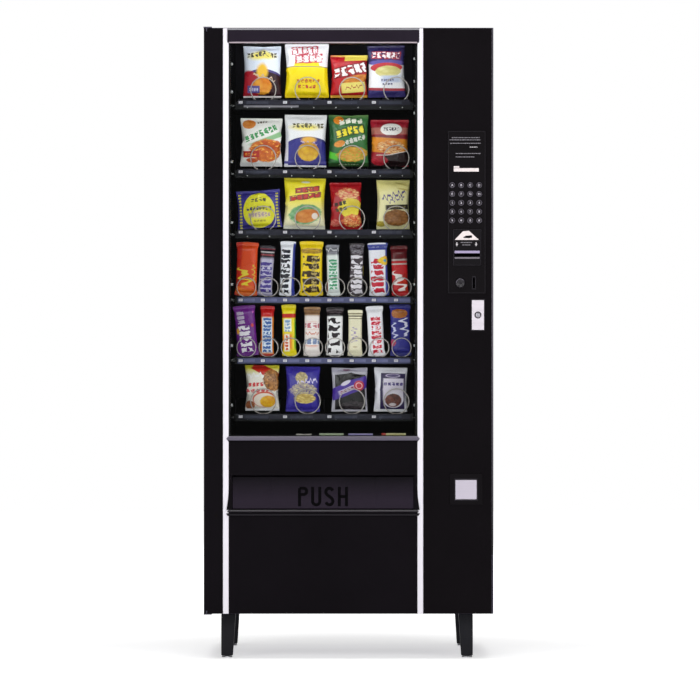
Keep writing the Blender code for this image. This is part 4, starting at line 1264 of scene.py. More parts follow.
def pack_mesh(name, shape, width, height, thick, seal, seed, ratio):
    """A pillow pack of the outer size given, with flat crimped seals at both ends."""
    co, _, index = shape
    lo, hi = co.min(0), co.max(0)
    body_h = height - 2 * seal
    c = (co - (lo + hi) / 2) / (hi - lo)
    c = c * np.array([width, thick, body_h])
    # the seals hold the ends nearly straight, and the film keeps some of its width at the waist
    for side in (0, 1):
        for i in range(NU + 1):
            low, top = c[index[side, i, 0]][2] + body_h / 2, c[index[side, i, NV]][2] - body_h / 2
            for j in range(NV + 1):
                if side and (i in (0, NU) or j in (0, NV)):
                    continue
                v = j / NV
                c[index[side, i, j]][2] -= 0.82 * (low * (1 - v) ** 2 + top * v**2)
    for j in range(NV + 1):
        left, right = c[index[0, 0, j]][0], c[index[0, NU, j]][0]
        want = width / 2 * (1 - 0.075 * math.sin(math.pi * j / NV))
        k_l = 1 + 0.75 * (want / -left - 1)
        k_r = 1 + 0.75 * (want / right - 1)
        for side in (0, 1):
            for i in range(NU + 1):
                if side and (i in (0, NU) or j in (0, NV)):
                    continue
                q = c[index[side, i, j]]
                q[0] *= k_l if q[0] < 0 else k_r
    r = random.Random(seed)
    lean_t, lean_b = r.uniform(-0.10, 0.30), r.uniform(-0.10, 0.30)
    ph = r.uniform(0, 6.28)
    bm = bmesh.new()
    uvl = bm.loops.layers.uv.new("UVMap")
    rows = []
    for side, sgn in ((0, -1), (1, 1)):
        grid = []
        film = 0.00022
        def seam(i, j, k, end):
            x, y, z = c[index[side, i, j]]
            edge = i in (0, NU)
            step = k / 2
            ripple = 0.0007 * math.sin(i * 0.9 + ph) + 0.0004 * math.sin(i * 2.3 + ph * 2)
            y2 = y + (lean_t if end > 0 else lean_b) * seal * step + ripple * step
            z2 = z + end * seal * step
            return (x, y2 + (0 if edge or k == 2 else sgn * film), z2)
        for k in (2, 1):
            grid.append([(seam(i, 0, k, -1), (2 - k) * 0.5) for i in range(NU + 1)])
        for j in range(NV + 1):
            line = []
            for i in range(NU + 1):
                x, y, z = c[index[side, i, j]]
                if j in (0, NV) and i not in (0, NU):
                    y += sgn * film
                line.append(((x, y, z), None))
            grid.append(line)
        for k in (1, 2):
            grid.append([(seam(i, NV, k, 1), k * 0.5) for i in range(NU + 1)])
        rows.append(grid)
    total = len(rows[0])
    vmap = {}
    for side in (0, 1):
        for j in range(total):
            for i in range(NU + 1):
                border = i in (0, NU) or j in (0, total - 1)
                if side and border:
                    vmap[1, i, j] = vmap[0, i, j]
                    continue
                vmap[side, i, j] = bm.verts.new(rows[side][j][i][0])
    share = seal / height
    def vv(j):
        if j < 2:
            return share * j / 2
        if j > NV + 2:
            return 1 - share + share * (j - NV - 2) / 2
        return share + (1 - 2 * share) * (j - 2) / NV
    for side in (0, 1):
        for j in range(total - 1):
            for i in range(NU):
                q = [(i, j), (i + 1, j), (i + 1, j + 1), (i, j + 1)]
                if side:
                    q = q[::-1]
                f = bm.faces.new([vmap[side, a, b] for a, b in q])
                f.smooth = True
                for loop, (a, b) in zip(f.loops, q):
                    loop[uvl].uv = (a / NU, vv(b) * ratio)
    bm.normal_update()
    mesh = bpy.data.meshes.new(name)
    bm.to_mesh(mesh)
    bm.free()
    return mesh


def bar_mesh(name, width, height, thick, seal, seed, ratio, square=3.2, flare=0.06, lumps=0.0):
    """A flow-wrapped bar: a rounded block with the film drawn flat and crimped at both ends."""
    r = random.Random(seed)
    off = Vector((r.uniform(0, 50), r.uniform(0, 50), r.uniform(0, 50)))
    nu, nv = 14, 44
    bm = bmesh.new()
    uvl = bm.loops.layers.uv.new("UVMap")
    ph = r.uniform(0, 6.28)
    rings = []
    for j in range(nv + 1):
        v = j / nv
        z = (v - 0.5) * height
        end = min(v, 1 - v) * height
        t = min(1.0, max(0.0, (end - seal) / (0.75 * thick)))
        fat = max(math.sin(t * math.pi / 2) ** 0.7, 0.0)
        half_d = 0.00025 + (thick / 2 - 0.00025) * fat
        half_w = width / 2 * (1 + flare * (1 - fat) - 0.02 * math.sin(math.pi * v))
        bend = (0.0012 * math.sin(ph + v * 5)) * (1 - fat)
        ring = []
        n = 2 * nu
        for i in range(n):
            a = math.pi - 2 * math.pi * i / n
            ca, sa = math.cos(a), math.sin(a)
            x = half_w * math.copysign(abs(ca) ** (2 / square), ca)
            y = -half_d * math.copysign(abs(sa) ** (2 / square), sa) if abs(sa) > 1e-6 else 0.0
            p = Vector((x / width * 3, y / thick, z / height * 7))
            pinch = (1 - t) * fat
            wob = noise.noise(p * 1.6 + off) * (0.0004 + lumps) * fat + noise.noise(Vector((x * 260, z * 60, 0)) + off) * 0.0011 * pinch
            ring.append(bm.verts.new((x, y + bend + math.copysign(wob, y) * (1 if abs(y) > 1e-6 else 0), z)))
        rings.append(ring)
    n = 2 * nu
    # column i in 0..n: u runs 0..1 over the front half and back again over the rear
    def uu(i):
        i = i % n
        return i / nu if i <= nu else (n - i) / nu
    for j in range(nv):
        for i in range(n):
            k = (i + 1) % n
            f = bm.faces.new((rings[j][i], rings[j][k], rings[j + 1][k], rings[j + 1][i]))
            f.smooth = True
            for loop, (a, b) in zip(f.loops, ((i, j), (i + 1, j), (i + 1, j + 1), (i, j + 1))):
                loop[uvl].uv = (uu(a), b / nv * ratio)
    for ring, flip in ((rings[0], True), (rings[-1], False)):
        f = bm.faces.new(ring[::-1] if flip else ring)
        for loop in f.loops:
            loop[uvl].uv = (0.5, 0 if flip else ratio)
    bmesh.ops.recalc_face_normals(bm, faces=bm.faces)
    mesh = bpy.data.meshes.new(name)
    bm.to_mesh(mesh)
    bm.free()
    return mesh


CAM_X, CAM_Z, CAM_D = 3.9, 893.8, 18000.0


def from_view(px_x, px_y, y):
    """mm in the plane y for a place in the 700 x 700 view."""
    k = (CAM_D + y + 441.0) / CAM_D * 2.899
    return CAM_X + (px_x - 350) * k, CAM_Z + (350 - px_y) * k


def place(name, mesh, mat, body, px_box, y, tilt=0.0, lean=0.0, sub=True):
    x0, z1 = from_view(px_box[0], px_box[2], y)
    x1, z0 = from_view(px_box[1], px_box[3], y)
    mesh.materials.append(mat)
    obj = link(bpy.data.objects.new(name, mesh))
    obj.location = ((x0 + x1) / 2 * MM, y * MM, (z0 + z1) / 2 * MM)
    obj.rotation_euler = (math.radians(lean), math.radians(tilt), 0)
    if sub:
        mod = obj.modifiers.new("smooth", "SUBSURF")
        mod.levels = mod.render_levels = 1
    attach(obj, body)
    return obj


BAGS = []


def bag(tray, col, box, base, tilt=0.0, thick=36.0, seal=8.0, y=-250.5, metal=0.0, rough=0.27):
    w = (box[1] - box[0]) * 2.94
    h = (box[3] - box[2]) * 2.94
    ratio = h / w
    a = Art(f"wrapper_{tray}_{col}", base, ratio, rough, metal, crimp=seal / h)
    BAGS.append((tray, col, box, a, tilt, thick, seal, y, w, h, ratio))
    return a


def bag_done():
    tray, col, box, a, tilt, thick, seal, y, w, h, ratio = BAGS[-1]
    seed = tray * 10 + col
    mesh = pack_mesh(f"bag_{tray}_{col}", SHAPES[seed % len(SHAPES)], w * MM, h * MM, thick * MM, seal * MM, seed, ratio)
    return place(f"snack_{tray}_{col}", mesh, a.done(), f"tray_{tray}_body", box, y, tilt)


BARS = []


def bar_pack(tray, col, box, base, tilt=0.0, thick=18.0, seal=11.0, y=-263.0, square=3.0, flare=0.08, lumps=0.0, metal=0.0, rough=0.26):
    w = (box[1] - box[0]) * 2.94
    h = (box[3] - box[2]) * 2.94
    ratio = h / w
    a = Art(f"wrapper_{tray}_{col}", base, ratio, rough, metal, crimp=seal / h)
    BARS.append((tray, col, box, a, tilt, thick, seal, y, w, h, ratio, square, flare, lumps))
    return a


def bar_done():
    tray, col, box, a, tilt, thick, seal, y, w, h, ratio, square, flare, lumps = BARS[-1]
    mesh = bar_mesh(f"bar_{tray}_{col}", w * MM, h * MM, thick * MM, seal * MM, tray * 10 + col, ratio, square, flare, lumps)
    return place(f"snack_{tray}_{col}", mesh, a.done(0.6), f"tray_{tray}_body", box, y, tilt)


# top shelf
a = bag(1, 1, (243, 282, 46.5, 99), "e6ecfa")
a.ell(0.5, 0.78, 0.86, 0.20, "f4e36a", soft=0.5).mark(0.5, 0.80, 0.78, 0.11, "4b4634", n=8)
a.ell(0.5, 0.14, 1.5, 0.82, "4b3f86", soft=0.01).ell(0.5, 0.11, 1.5, 0.80, "31121c", soft=0.02).ell(0.15, 0.22, 0.62, 0.64, "b01f2e", soft=0.1)
a.ell(0.5, 0.50, 0.36, 0.34, "f6c33a", soft=0.4).squig(0.55, 0.40, 0.6, 0.1, "d9b9a0", 14, 3).food(0.5, 0.24, 0.5, 0.34, "f5b53c", "df7d18", ragged=0.5, cells=1.5)
a.rect(0.28, 0.18, 0.32, 0.14, "5c5198").mark(0.28, 0.18, 0.24, 0.07, "c8c4e0", n=4).band(0.0, 0.045, "efe4e6")
bag_done()

a = bag(1, 2, (284.5, 329.5, 44, 99), "f7f4f8", seal=9.0)
a.rect(0.22, 0.18, 1.3, 0.8, "f6d90f", -12, 0.01).rect(0.78, 0.18, 1.3, 0.8, "f6d90f", 12, 0.01)
a.squig(0.5, 0.555, 1.3, 0.05, "2f3f93", 0, 0.5, 0.22)
a.mark(0.46, 0.86, 0.56, 0.15, "fdf3f4", -3, n=5, fill=0.42, edge="c52f46")
a.mark(0.55, 0.71, 0.58, 0.15, "fdf3f4", -3, n=4, fill=0.42, edge="c52f46")
a.mark(0.53, 0.32, 0.52, 0.075, "c2661d", n=6).mark(0.50, 0.22, 0.40, 0.075, "bf3a2b", n=5).band(0.0, 0.06, "f3cf18")
bag_done()

a = bag(1, 3, (330, 368, 55.5, 99), "b3131f", thick=34.0, y=-247.0)
a.band(0.84, 1.0, "efd759", -3).rect(0.1, 0.4, 0.55, 1.2, "c01824", 3, 0.1)
a.mark(0.54, 0.64, 0.80, 0.24, "f3e9ea", -14, 5, 0.40, edge="7e0d16")
a.food(0.66, 0.44, 0.66, 0.18, "e79a3b", "b9651e", -12, 0.6, 3.0).rect(0.62, 0.26, 0.66, 0.24, "f0dc74", -4, 0.12)
a.squig(0.62, 0.27, 0.44, 0.10, "b6603a", -8, 4, 0.3).band(0.0, 0.075, "e4a93c")
bag_done()

a = bag(1, 4, (367.2, 405.5, 46, 98.5), "332c63", tilt=-1.0, thick=33.0, y=-254.5)
a.fade(0.75, 1.0, "28224d").rect(0.54, 0.40, 1.3, 0.46, "f4f1f6", 3, 0.01)
a.mark(0.5, 0.80, 0.74, 0.14, "f6ebee", 2, 6, 0.42, edge="b02a3a")
a.ell(0.5, 0.66, 1.1, 0.12, "5e54a0", 0, 0.2).ell(0.5, 0.57, 0.86, 0.19, "c03038", 0, 0.05).food(0.54, 0.50, 0.70, 0.22, "e9e0a4", "c9bd6e", 0, 0.2, 1.5)
a.rect(0.62, 0.36, 0.6, 0.16, "c6cee6", 0, 0.4).mark(0.52, 0.34, 0.34, 0.055, "5a5480", n=6).mark(0.52, 0.265, 0.28, 0.045, "5a5480", n=4)
a.band(0.14, 0.19, "a8323f", 2).band(0.0, 0.14, "38306f", 1)
bag_done()

# second shelf
a = bag(2, 1, (240, 283, 118.5, 167.5), "f2efec", tilt=0.5)
a.food(0.22, 0.86, 0.32, 0.2, "eda04c", "d9782c", 0, 0.3, 1.5).mark(0.52, 0.90, 0.24, 0.06, "6a5a50", -10, 4).mark(0.5, 0.68, 0.74, 0.15, "3c9a55", -24, 7, 0.40)
a.rect(0.62, 0.56, 0.8, 0.10, "8fc08a", -24, 0.3).food(0.62, 0.34, 0.74, 0.46, "ec8228", "c14c1a", 0, 0.5, 2.4, "f5b04a").rect(0.28, 0.27, 0.38, 0.13, "b92318", -3)
a.mark(0.27, 0.27, 0.26, 0.06, "ef9a36", -3, 4).food(0.30, 0.15, 0.28, 0.1, "df6a24", "b5401c", 0, 0.6, 3.0).band(0.0, 0.1, "ece9ea")
bag_done()

a = bag(2, 2, (284, 327.2, 115, 168), "f5f2f6", tilt=0.8)
a.ell(0.5, 0.75, 0.9, 0.16, "f4e26a", soft=0.6).mark(0.56, 0.78, 0.74, 0.11, "5b5634", n=8).ell(0.56, 0.12, 1.5, 0.92, "2c2a6e", soft=0.01).ell(0.50, 0.10, 1.5, 0.90, "343189", soft=0.02)
a.ell(0.06, 0.2, 0.10, 1.3, "e9e6f2", soft=0.2).ell(0.58, 0.52, 0.42, 0.14, "f0b44a", soft=0.4).squig(0.58, 0.46, 0.4, 0.08, "cdb6d2", 6, 3)
a.food(0.57, 0.30, 0.52, 0.36, "f2c93c", "cf9122", ragged=0.25, cells=1.6).band(0.07, 0.12, "5a56a0", 0).band(0.0, 0.045, "e6e2ea")
bag_done()

a = bag(2, 3, (328.0, 369, 115, 167.5), "35713a")
a.fade(0.9, 1.0, "6c8f55").food(0.26, 0.88, 0.26, 0.18, "efa43a", "e27a1e", 0, 0.2, 1.2).ell(0.06, 0.5, 0.24, 1.2, "26562e", soft=0.4)
a.mark(0.56, 0.84, 0.58, 0.13, "f2f0e0", -6, 4, 0.38).mark(0.54, 0.66, 0.70, 0.16, "f0dc2e", -12, 5, 0.38, edge="2c4a20")
a.mark(0.62, 0.50, 0.64, 0.10, "d5d3cb", -18, 6, 0.38).rect(0.12, 0.22, 0.30, 0.14, "55c02c", 14, 0.3).food(0.60, 0.25, 0.78, 0.28, "e7b04a", "c88a2c", -4, 0.7, 3.0, "8db52f")
a.food(0.28, 0.44, 0.28, 0.12, "efa24a", "d98430", -14, 0.3, 2.0).band(0.0, 0.085, "25441f").mark(0.5, 0.05, 0.5, 0.03, "8ea57a", 0, 7)
bag_done()

a = bag(2, 4, (370, 409, 120, 167.5), "a11a2c")
a.fade(0.93, 1.0, "c13a44").band(0.68, 0.82, "b06a5e").ell(0.54, 0.78, 0.56, 0.26, "f1ece9", soft=0.06).mark(0.54, 0.785, 0.40, 0.09, "4c4250", 0, 6).band(0.60, 0.665, "781426")
a.rect(0.5, 0.45, 1.6, 0.32, "df8a22", 4, 0.1).food(0.52, 0.42, 0.72, 0.28, "f3dca8", "d97a1e", 0, 0.7, 3.2, "a9420f").rect(0.66, 0.14, 1.4, 0.30, "1f0a0e", -10, 0.05)
a.squig(0.6, 0.29, 0.9, 0.07, "e8ddd8", -10, 0.8, 0.25).food(0.24, 0.14, 0.44, 0.22, "c6283a", "9a1626", 0, 0.4, 3.0)
bag_done()

# third shelf
a = bag(3, 1, (236.6, 282, 190.2, 229.2), "3c3590", tilt=-3.6, thick=30.0)
a.dots(0.09, 0.46, 0.06, 0.90, "e5de3a", 6.0).dots(0.91, 0.46, 0.06, 0.90, "cfc93c", 6.0).ell(0.5, 0.455, 0.72, 0.88, "e8e02c", soft=0.04).ell(0.5, 0.37, 0.52, 0.24, "e3d29a", soft=0.5)
a.mark(0.5, 0.71, 0.34, 0.10, "4a4630", 0, 4).mark(0.5, 0.52, 0.56, 0.11, "46425c", 0, 8).mark(0.5, 0.37, 0.50, 0.13, "b59aa8", 0, 7).mark(0.5, 0.22, 0.28, 0.055, "a89a30", 0, 4)
bag_done()

a = bag(3, 2, (283.5, 326, 178, 230), "f2df2e", tilt=1.0)
a.fade(0.62, 0.15, "f1eac6").ell(0.52, 0.90, 0.24, 0.05, "f3f1d8", soft=0.3).mark(0.56, 0.76, 0.54, 0.10, "c22a20", -7, 4, 0.38, edge="7a1c1a")
a.mark(0.52, 0.63, 0.70, 0.10, "c22a20", -9, 5, 0.38, edge="7a1c1a").food(0.52, 0.30, 0.78, 0.38, "9fc79a", "5d9e62", -8, 0.5, 3.0)
a.food(0.56, 0.27, 0.60, 0.26, "e29a4a", "c8702a", -10, 0.2, 1.6).ell(0.74, 0.27, 0.16, 0.13, "ead9d0", soft=0.2).band(0.0, 0.08, "ece8d8")
bag_done()

a = bag(3, 3, (329.5, 362, 182.5, 230.5), "a9121c", tilt=-0.6)
a.food(0.56, 0.74, 0.66, 0.24, "efcf8e", "c9402c", 0, 1.0, 3.4).food(0.62, 0.46, 0.62, 0.40, "eee04a", "d8bc2c", -4, 0.5, 1.6).mark(0.36, 0.55, 0.34, 0.10, "2d2722", -16, 3, 0.34)
a.mark(0.38, 0.44, 0.32, 0.08, "463f2a", -16, 3, 0.36).food(0.70, 0.20, 0.62, 0.28, "efc479", "d8582c", 0, 0.9, 3.2, "9d1a18").food(0.18, 0.16, 0.34, 0.16, "d88a78", "b8342c", 0, 0.6, 3.0)
bag_done()

a = bag(3, 4, (376, 410, 180, 230), "e8db8c", tilt=0.0)
a.fade(0.9, 0.55, "efe6b2").rect(0.76, 0.90, 0.5, 0.05, "bfae5e", 12, 0.6).rect(0.78, 0.80, 0.4, 0.04, "c6b25a", 10, 0.6).squig(0.52, 0.68, 0.74, 0.16, "584a86", -14, 5, 0.30)
a.squig(0.60, 0.60, 0.50, 0.12, "6a5a8e", -14, 4, 0.26).rect(0.62, 0.45, 0.74, 0.10, "2c241e", -2, 0.15).mark(0.62, 0.45, 0.5, 0.04, "8f8450", -2, 8)
a.food(0.60, 0.24, 0.80, 0.34, "a8713a", "7b4a20", 0, 0.4, 4.0).food(0.14, 0.12, 0.3, 0.12, "d6c24a", "a08a2c", 0, 0.6, 3.0)
bag_done()

# fourth shelf, bars
a = bar_pack(4, 1, (236.5, 257.5, 242.5, 296), "df4a1a", tilt=2.0, square=2.6)
a.rect(0.16, 0.5, 0.42, 1.4, "c32718", 2, 0.3).vsquig(0.44, 0.34, 0.5, 0.40, "ecd13a", -12, 2.5, 0.36).vsquig(0.74, 0.42, 0.22, 0.34, "d9b02c", -4, 4, 0.36).food(0.5, 0.10, 0.9, 0.2, "ef8a2c", "d8501c", 0, 0.5, 2.0)
bar_done()
a = bar_pack(4, 2, (259.5, 273.5, 246, 296), "b9b3cb", tilt=4.0, metal=0.1)
a.fade(0.72, 0.78, "251d28").band(0.80, 0.83, "8f3a42").band(0.86, 0.885, "c9c2c6").band(0.92, 0.945, "7c3440").vmark(0.5, 0.37, 0.66, 0.62, "4d3f8c", -3, 7, 0.36).rect(0.08, 0.36, 0.16, 0.7, "8f87a6", -2, 0.4).band(0, 0.05, "8a84a0")
bar_done()
a = bar_pack(4, 3, (280.5, 295, 241.5, 296), "eceaf2", tilt=1.5)
a.rect(0.84, 0.45, 0.36, 1.06, "333c94", 1, 0.06).vmark(0.34, 0.45, 0.56, 0.82, "2b2a33", 0, 9, 0.37)
bar_done()
a = bar_pack(4, 4, (300.5, 322.5, 241.5, 296), "f0cd16", tilt=0.5)
a.food(0.5, 0.82, 0.9, 0.10, "6a4a20", "caa02a", 0, 1.0, 4.0).vmark(0.48, 0.40, 0.62, 0.70, "372619", 0, 5, 0.38).vmark(0.56, 0.40, 0.16, 0.66, "b39c5e", 0, 9, 0.44).rect(0.9, 0.5, 0.12, 0.5, "d9b412", 0, 0.3)
bar_done()
a = bar_pack(4, 5, (326.8, 339.3, 245, 296), "dfe3e2", tilt=-1.5, metal=0.12)
a.fade(0.78, 0.82, "77757f").vmark(0.5, 0.42, 0.44, 0.60, "4f9a72", 0, 10, 0.36).squig(0.5, 0.9, 0.9, 0.08, "d8d6dc", 0, 3, 0.4).rect(0.10, 0.16, 0.2, 0.26, "b5534a", 0, 0.3)
bar_done()
a = bar_pack(4, 6, (349.5, 363.5, 243.5, 296), "2b2227", tilt=0.8, metal=0.08)
a.food(0.5, 0.88, 1.0, 0.2, "8b8590", "3a3036", 0, 0.8, 5.0).rect(0.5, 0.40, 0.74, 0.74, "4b4048", 0, 0.1).vmark(0.5, 0.41, 0.70, 0.74, "dcd5de", 0, 8, 0.40).rect(0.94, 0.48, 0.16, 0.2, "c7bb4c", 0, 0.2)
bar_done()
a = bar_pack(4, 7, (369, 387.5, 243, 296), "e9e7f2", tilt=-2.0)
a.rect(0.88, 0.45, 0.30, 1.2, "4a51a6", 2, 0.08).band(0.86, 0.97, "454c9c").mark(0.5, 0.915, 0.9, 0.03, "a3a7d6", 0, 9).vmark(0.44, 0.38, 0.52, 0.66, "c4263a", 0, 6, 0.40)
a.food(0.74, 0.66, 0.50, 0.18, "f2d648", "eeb42c", 0, 0.6, 2.0).ell(0.74, 0.66, 0.22, 0.06, "5aa6c8", 0, 0.3).rect(0.06, 0.36, 0.1, 0.3, "d8c24a", 0, 0.3)
bar_done()
a = bar_pack(4, 8, (391.5, 407.5, 246, 296), "c11f26", tilt=-2.0)
a.fade(0.68, 0.72, "5f1018").band(0.70, 0.735, "b8a7a4").band(0.62, 0.65, "c9bcb8").food(0.7, 0.26, 0.5, 0.4, "d8401c", "a71a1c", 0, 0.5, 2.0).vsquig(0.46, 0.30, 0.56, 0.42, "f2e6e4", -14, 2.2, 0.42)
bar_done()

# fifth shelf, bars
a = bar_pack(5, 1, (236, 256.5, 305.5, 356), "6b1f86", tilt=-5.0, square=2.4)
a.fade(0.6, 1.0, "7a2c92").vmark(0.46, 0.34, 0.42, 0.54, "f0e9f2", -4, 5, 0.38).vmark(0.36, 0.76, 0.30, 0.26, "bfb0c8", -4, 3, 0.34).ell(0.22, 0.5, 0.2, 0.14, "e0a02c", 0, 0.4).ell(0.72, 0.60, 0.16, 0.09, "cf3a3a", 0, 0.4).ell(0.8, 0.86, 0.12, 0.05, "d86ac0", 0, 0.5)
bar_done()
a = bar_pack(5, 2, (260.8, 274, 306, 356.1), "e3801c", tilt=0.8)
a.fade(0.76, 0.80, "c01a1c").rect(0.5, 0.42, 0.50, 0.74, "d5dfea", -1, 0.1).vmark(0.5, 0.42, 0.40, 0.70, "4264a6", 0, 10, 0.36).rect(0.10, 0.55, 0.16, 0.7, "b8321a", 0, 0.3).band(0, 0.05, "a7281a")
bar_done()
a = bar_pack(5, 3, (282.5, 296, 304.5, 356.1), "ecd61c", tilt=-1.0)
a.band(0.74, 0.82, "c32a22").rect(0.42, 0.60, 0.34, 0.26, "efeee6", 0, 0.15).rect(0.88, 0.5, 0.26, 0.5, "58a83a", 0, 0.3).rect(0.36, 0.28, 0.56, 0.34, "ef8a2a", 0, 0.3).rect(0.40, 0.26, 0.24, 0.36, "f1ede2", 0, 0.2).rect(0.82, 0.25, 0.26, 0.3, "8dbb2e", 0, 0.4)
a.vmark(0.44, 0.58, 0.24, 0.24, "7da0c8", 0, 4, 0.40).vmark(0.40, 0.26, 0.18, 0.30, "d0502c", 0, 5, 0.40)
bar_done()
a = bar_pack(5, 4, (304.5, 319.8, 307, 356.1), "efe3e0", tilt=0.5)
a.fade(0.80, 0.84, "9a7350").band(0.86, 0.88, "6e4c34").band(0.93, 0.95, "6e4c34").ell(0.5, 0.62, 0.92, 0.20, "e8b3a6", 0, 0.5).ell(0.5, 0.28, 0.92, 0.22, "e59a84", 0, 0.5).mark(0.5, 0.62, 0.8, 0.12, "c9707a", 0, 4, 0.36, edge="f3efee").mark(0.5, 0.30, 0.8, 0.14, "7f8fb6", 0, 4, 0.36, edge="f3efee").squig(0.5, 0.46, 0.7, 0.08, "d8846c", 0, 4, 0.36)
bar_done()
a = bar_pack(5, 5, (327, 343, 307.5, 356.1), "221a1e", tilt=0.0)
a.rect(0.48, 0.42, 0.94, 0.82, "f0ecee", 0, 0.06).vmark(0.44, 0.42, 0.60, 0.76, "2a2125", 0, 5, 0.46).rect(0.92, 0.36, 0.10, 0.62, "3b2f34", 1, 0.2).food(0.5, 0.92, 0.9, 0.08, "6e6268", "2c2226", 0, 0.6, 3.0)
bar_done()
a = bar_pack(5, 6, (348.3, 362, 310, 356.1), "ece3c6", tilt=0.3)
a.band(0.80, 0.82, "8f8468").band(0.85, 0.875, "6d6350").band(0.91, 0.93, "8f8468").vsquig(0.46, 0.46, 0.28, 0.34, "a392bd", 0, 4, 0.24).ell(0.5, 0.2, 0.2, 0.05, "c9b99a", 0, 0.5)
bar_done()
a = bar_pack(5, 7, (367.5, 383.5, 306, 356.1), "f1edf4", tilt=-3.0)
a.vmark(0.54, 0.42, 0.40, 0.74, "cf2f45", -1, 8, 0.38).vsquig(0.54, 0.42, 0.2, 0.74, "f2b7bf", 0, 9, 0.2).rect(0.9, 0.3, 0.2, 0.5, "dcd4e0", 0, 0.6)
bar_done()
a = bar_pack(5, 8, (390.5, 410, 304.5, 356.1), "34338a", tilt=-1.0, square=2.4)
a.food(0.46, 0.82, 0.62, 0.18, "c67a34", "9a5520", 0, 0.5, 3.0).vsquig(0.66, 0.56, 0.36, 0.36, "e4e2f2", -6, 2.6, 0.40).vsquig(0.28, 0.50, 0.28, 0.30, "cfcdea", -6, 2.4, 0.40).food(0.2, 0.26, 0.34, 0.14, "d85a6a", "a83a6a", 0, 0.6, 3.0).fade(0.22, 0.0, "2a2a7c")
bar_done()

# sixth shelf
a = bag(6, 1, (245, 280, 364.5, 411), "ede6dc", tilt=0.0)
a.fade(0.76, 0.92, "e8da3c").rect(0.62, 0.84, 0.9, 0.22, "c8281c", 30, 0.1).food(0.76, 0.66, 0.5, 0.46, "c98a4a", "8a5526", 0, 0.5, 3.4, "5c3a1e").squig(0.30, 0.76, 0.5, 0.14, "f4f0f0", 0, 3, 0.34)
a.mark(0.34, 0.57, 0.40, 0.10, "cf3a3c", -4, 4, 0.36).mark(0.40, 0.44, 0.60, 0.09, "d8565c", 2, 5, 0.40).ell(0.56, 0.26, 0.66, 0.34, "d2563c", 0, 0.06).ell(0.56, 0.25, 0.60, 0.30, "ecdccf", 0, 0.06)
a.food(0.66, 0.22, 0.46, 0.26, "efc22e", "e09a24", 0, 0.3, 2.0).food(0.16, 0.14, 0.28, 0.2, "b9744a", "8c4a2c", 0, 0.6, 3.0).band(0.0, 0.06, "e9e6ea")
bag_done()
a = bag(6, 2, (285.5, 320.5, 366, 412), "3a2f98", tilt=0.4)
a.fade(0.86, 1.0, "4438a6").food(0.46, 0.74, 0.36, 0.26, "d8c48a", "9a8660", 0, 0.6, 3.0).squig(0.62, 0.66, 0.6, 0.14, "cfc6e4", -10, 5, 0.34).food(0.52, 0.47, 0.78, 0.34, "ded09a", "8f7f8a", 0, 0.8, 3.6, "50458c")
a.food(0.56, 0.30, 0.64, 0.22, "e6cf7a", "b08f44", 0, 0.4, 3.0).food(0.3, 0.12, 0.4, 0.14, "4b40b4", "342a8c", 0, 0.8, 2.0)
bag_done()
a = bag(6, 3, (331, 368, 367, 412), "b9b4c0", tilt=0.0, thick=30.0)
a.rect(0.52, 0.44, 0.84, 0.78, "120d11", 0, 0.04).rect(0.5, 0.93, 1.2, 0.10, "aaa4b6", 0, 0.3).rect(0.42, 0.94, 0.22, 0.05, "7d5470", 0, 0.3).rect(0.50, 0.53, 1.10, 0.26, "4a2f96", -20, 0.04).rect(0.48, 0.50, 0.62, 0.10, "cdbfd8", -20, 0.2)
a.mark(0.48, 0.50, 0.52, 0.06, "8c3a5c", -20, 5).ell(0.40, 0.63, 0.30, 0.09, "d9d0e2", -20, 0.2).ell(0.76, 0.58, 0.30, 0.22, "b8283c", -20, 0.1).ring(0.76, 0.58, 0.20, 0.14, "e0a8ac", 0.3).food(0.6, 0.16, 0.7, 0.2, "4d444a", "1e171b", 0, 0.6, 4.0)
bag_done()
a = bag(6, 4, (373.5, 407.5, 367, 412), "e6e2ec", tilt=0.6, thick=32.0)
a.rect(0.56, 0.44, 0.72, 0.84, "2c1f4c", 1, 0.03).rect(0.58, 0.54, 0.62, 0.42, "d9cfe0", 0, 0.1).ell(0.56, 0.80, 0.46, 0.09, "b9a7cc", 0, 0.15).ell(0.56, 0.80, 0.38, 0.06, "3b2a63", 0, 0.15).mark(0.58, 0.62, 0.58, 0.08, "4a3c7c", 0, 5, 0.34)
a.ell(0.58, 0.30, 0.62, 0.40, "ded6e4", 0, 0.05).food(0.58, 0.27, 0.50, 0.30, "8a4a3c", "4a241e", 0, 0.2, 2.0).ell(0.56, 0.18, 0.24, 0.08, "cfc2c6", 0, 0.3).band(0.0, 0.07, "eceaf0")
bag_done()

# bottom shelf, only the tops show over the sill
a = bag(7, 1, (296, 312, 433.0, 465), "a9a39c", thick=18.0, y=-252.0)
a.fade(0.94, 1.0, "c8c2ba").food(0.5, 0.6, 0.9, 0.5, "8a6a3c", "5c4024")
bag_done()
a = bag(7, 2, (319, 344, 432.6, 465), "9fb08a", thick=28.0)
a.fade(0.92, 1.0, "bfc9b0").food(0.5, 0.5, 0.8, 0.5, "c8a03c", "8a6a2c")
bag_done()
a = bag(7, 3, (348, 373, 432.8, 465), "6a5aa8", thick=28.0)
a.fade(0.92, 1.0, "b9b0da").food(0.5, 0.5, 0.8, 0.5, "d8d0e8", "8a7ac8")
bag_done()
a = bag(7, 4, (381, 406, 432.4, 465), "d8cf8a", thick=28.0)
a.fade(0.92, 1.0, "ece6b4").rect(0.1, 0.97, 0.2, 0.1, "c03a34").food(0.5, 0.5, 0.8, 0.5, "c8402c", "8a2a1c")
bag_done()


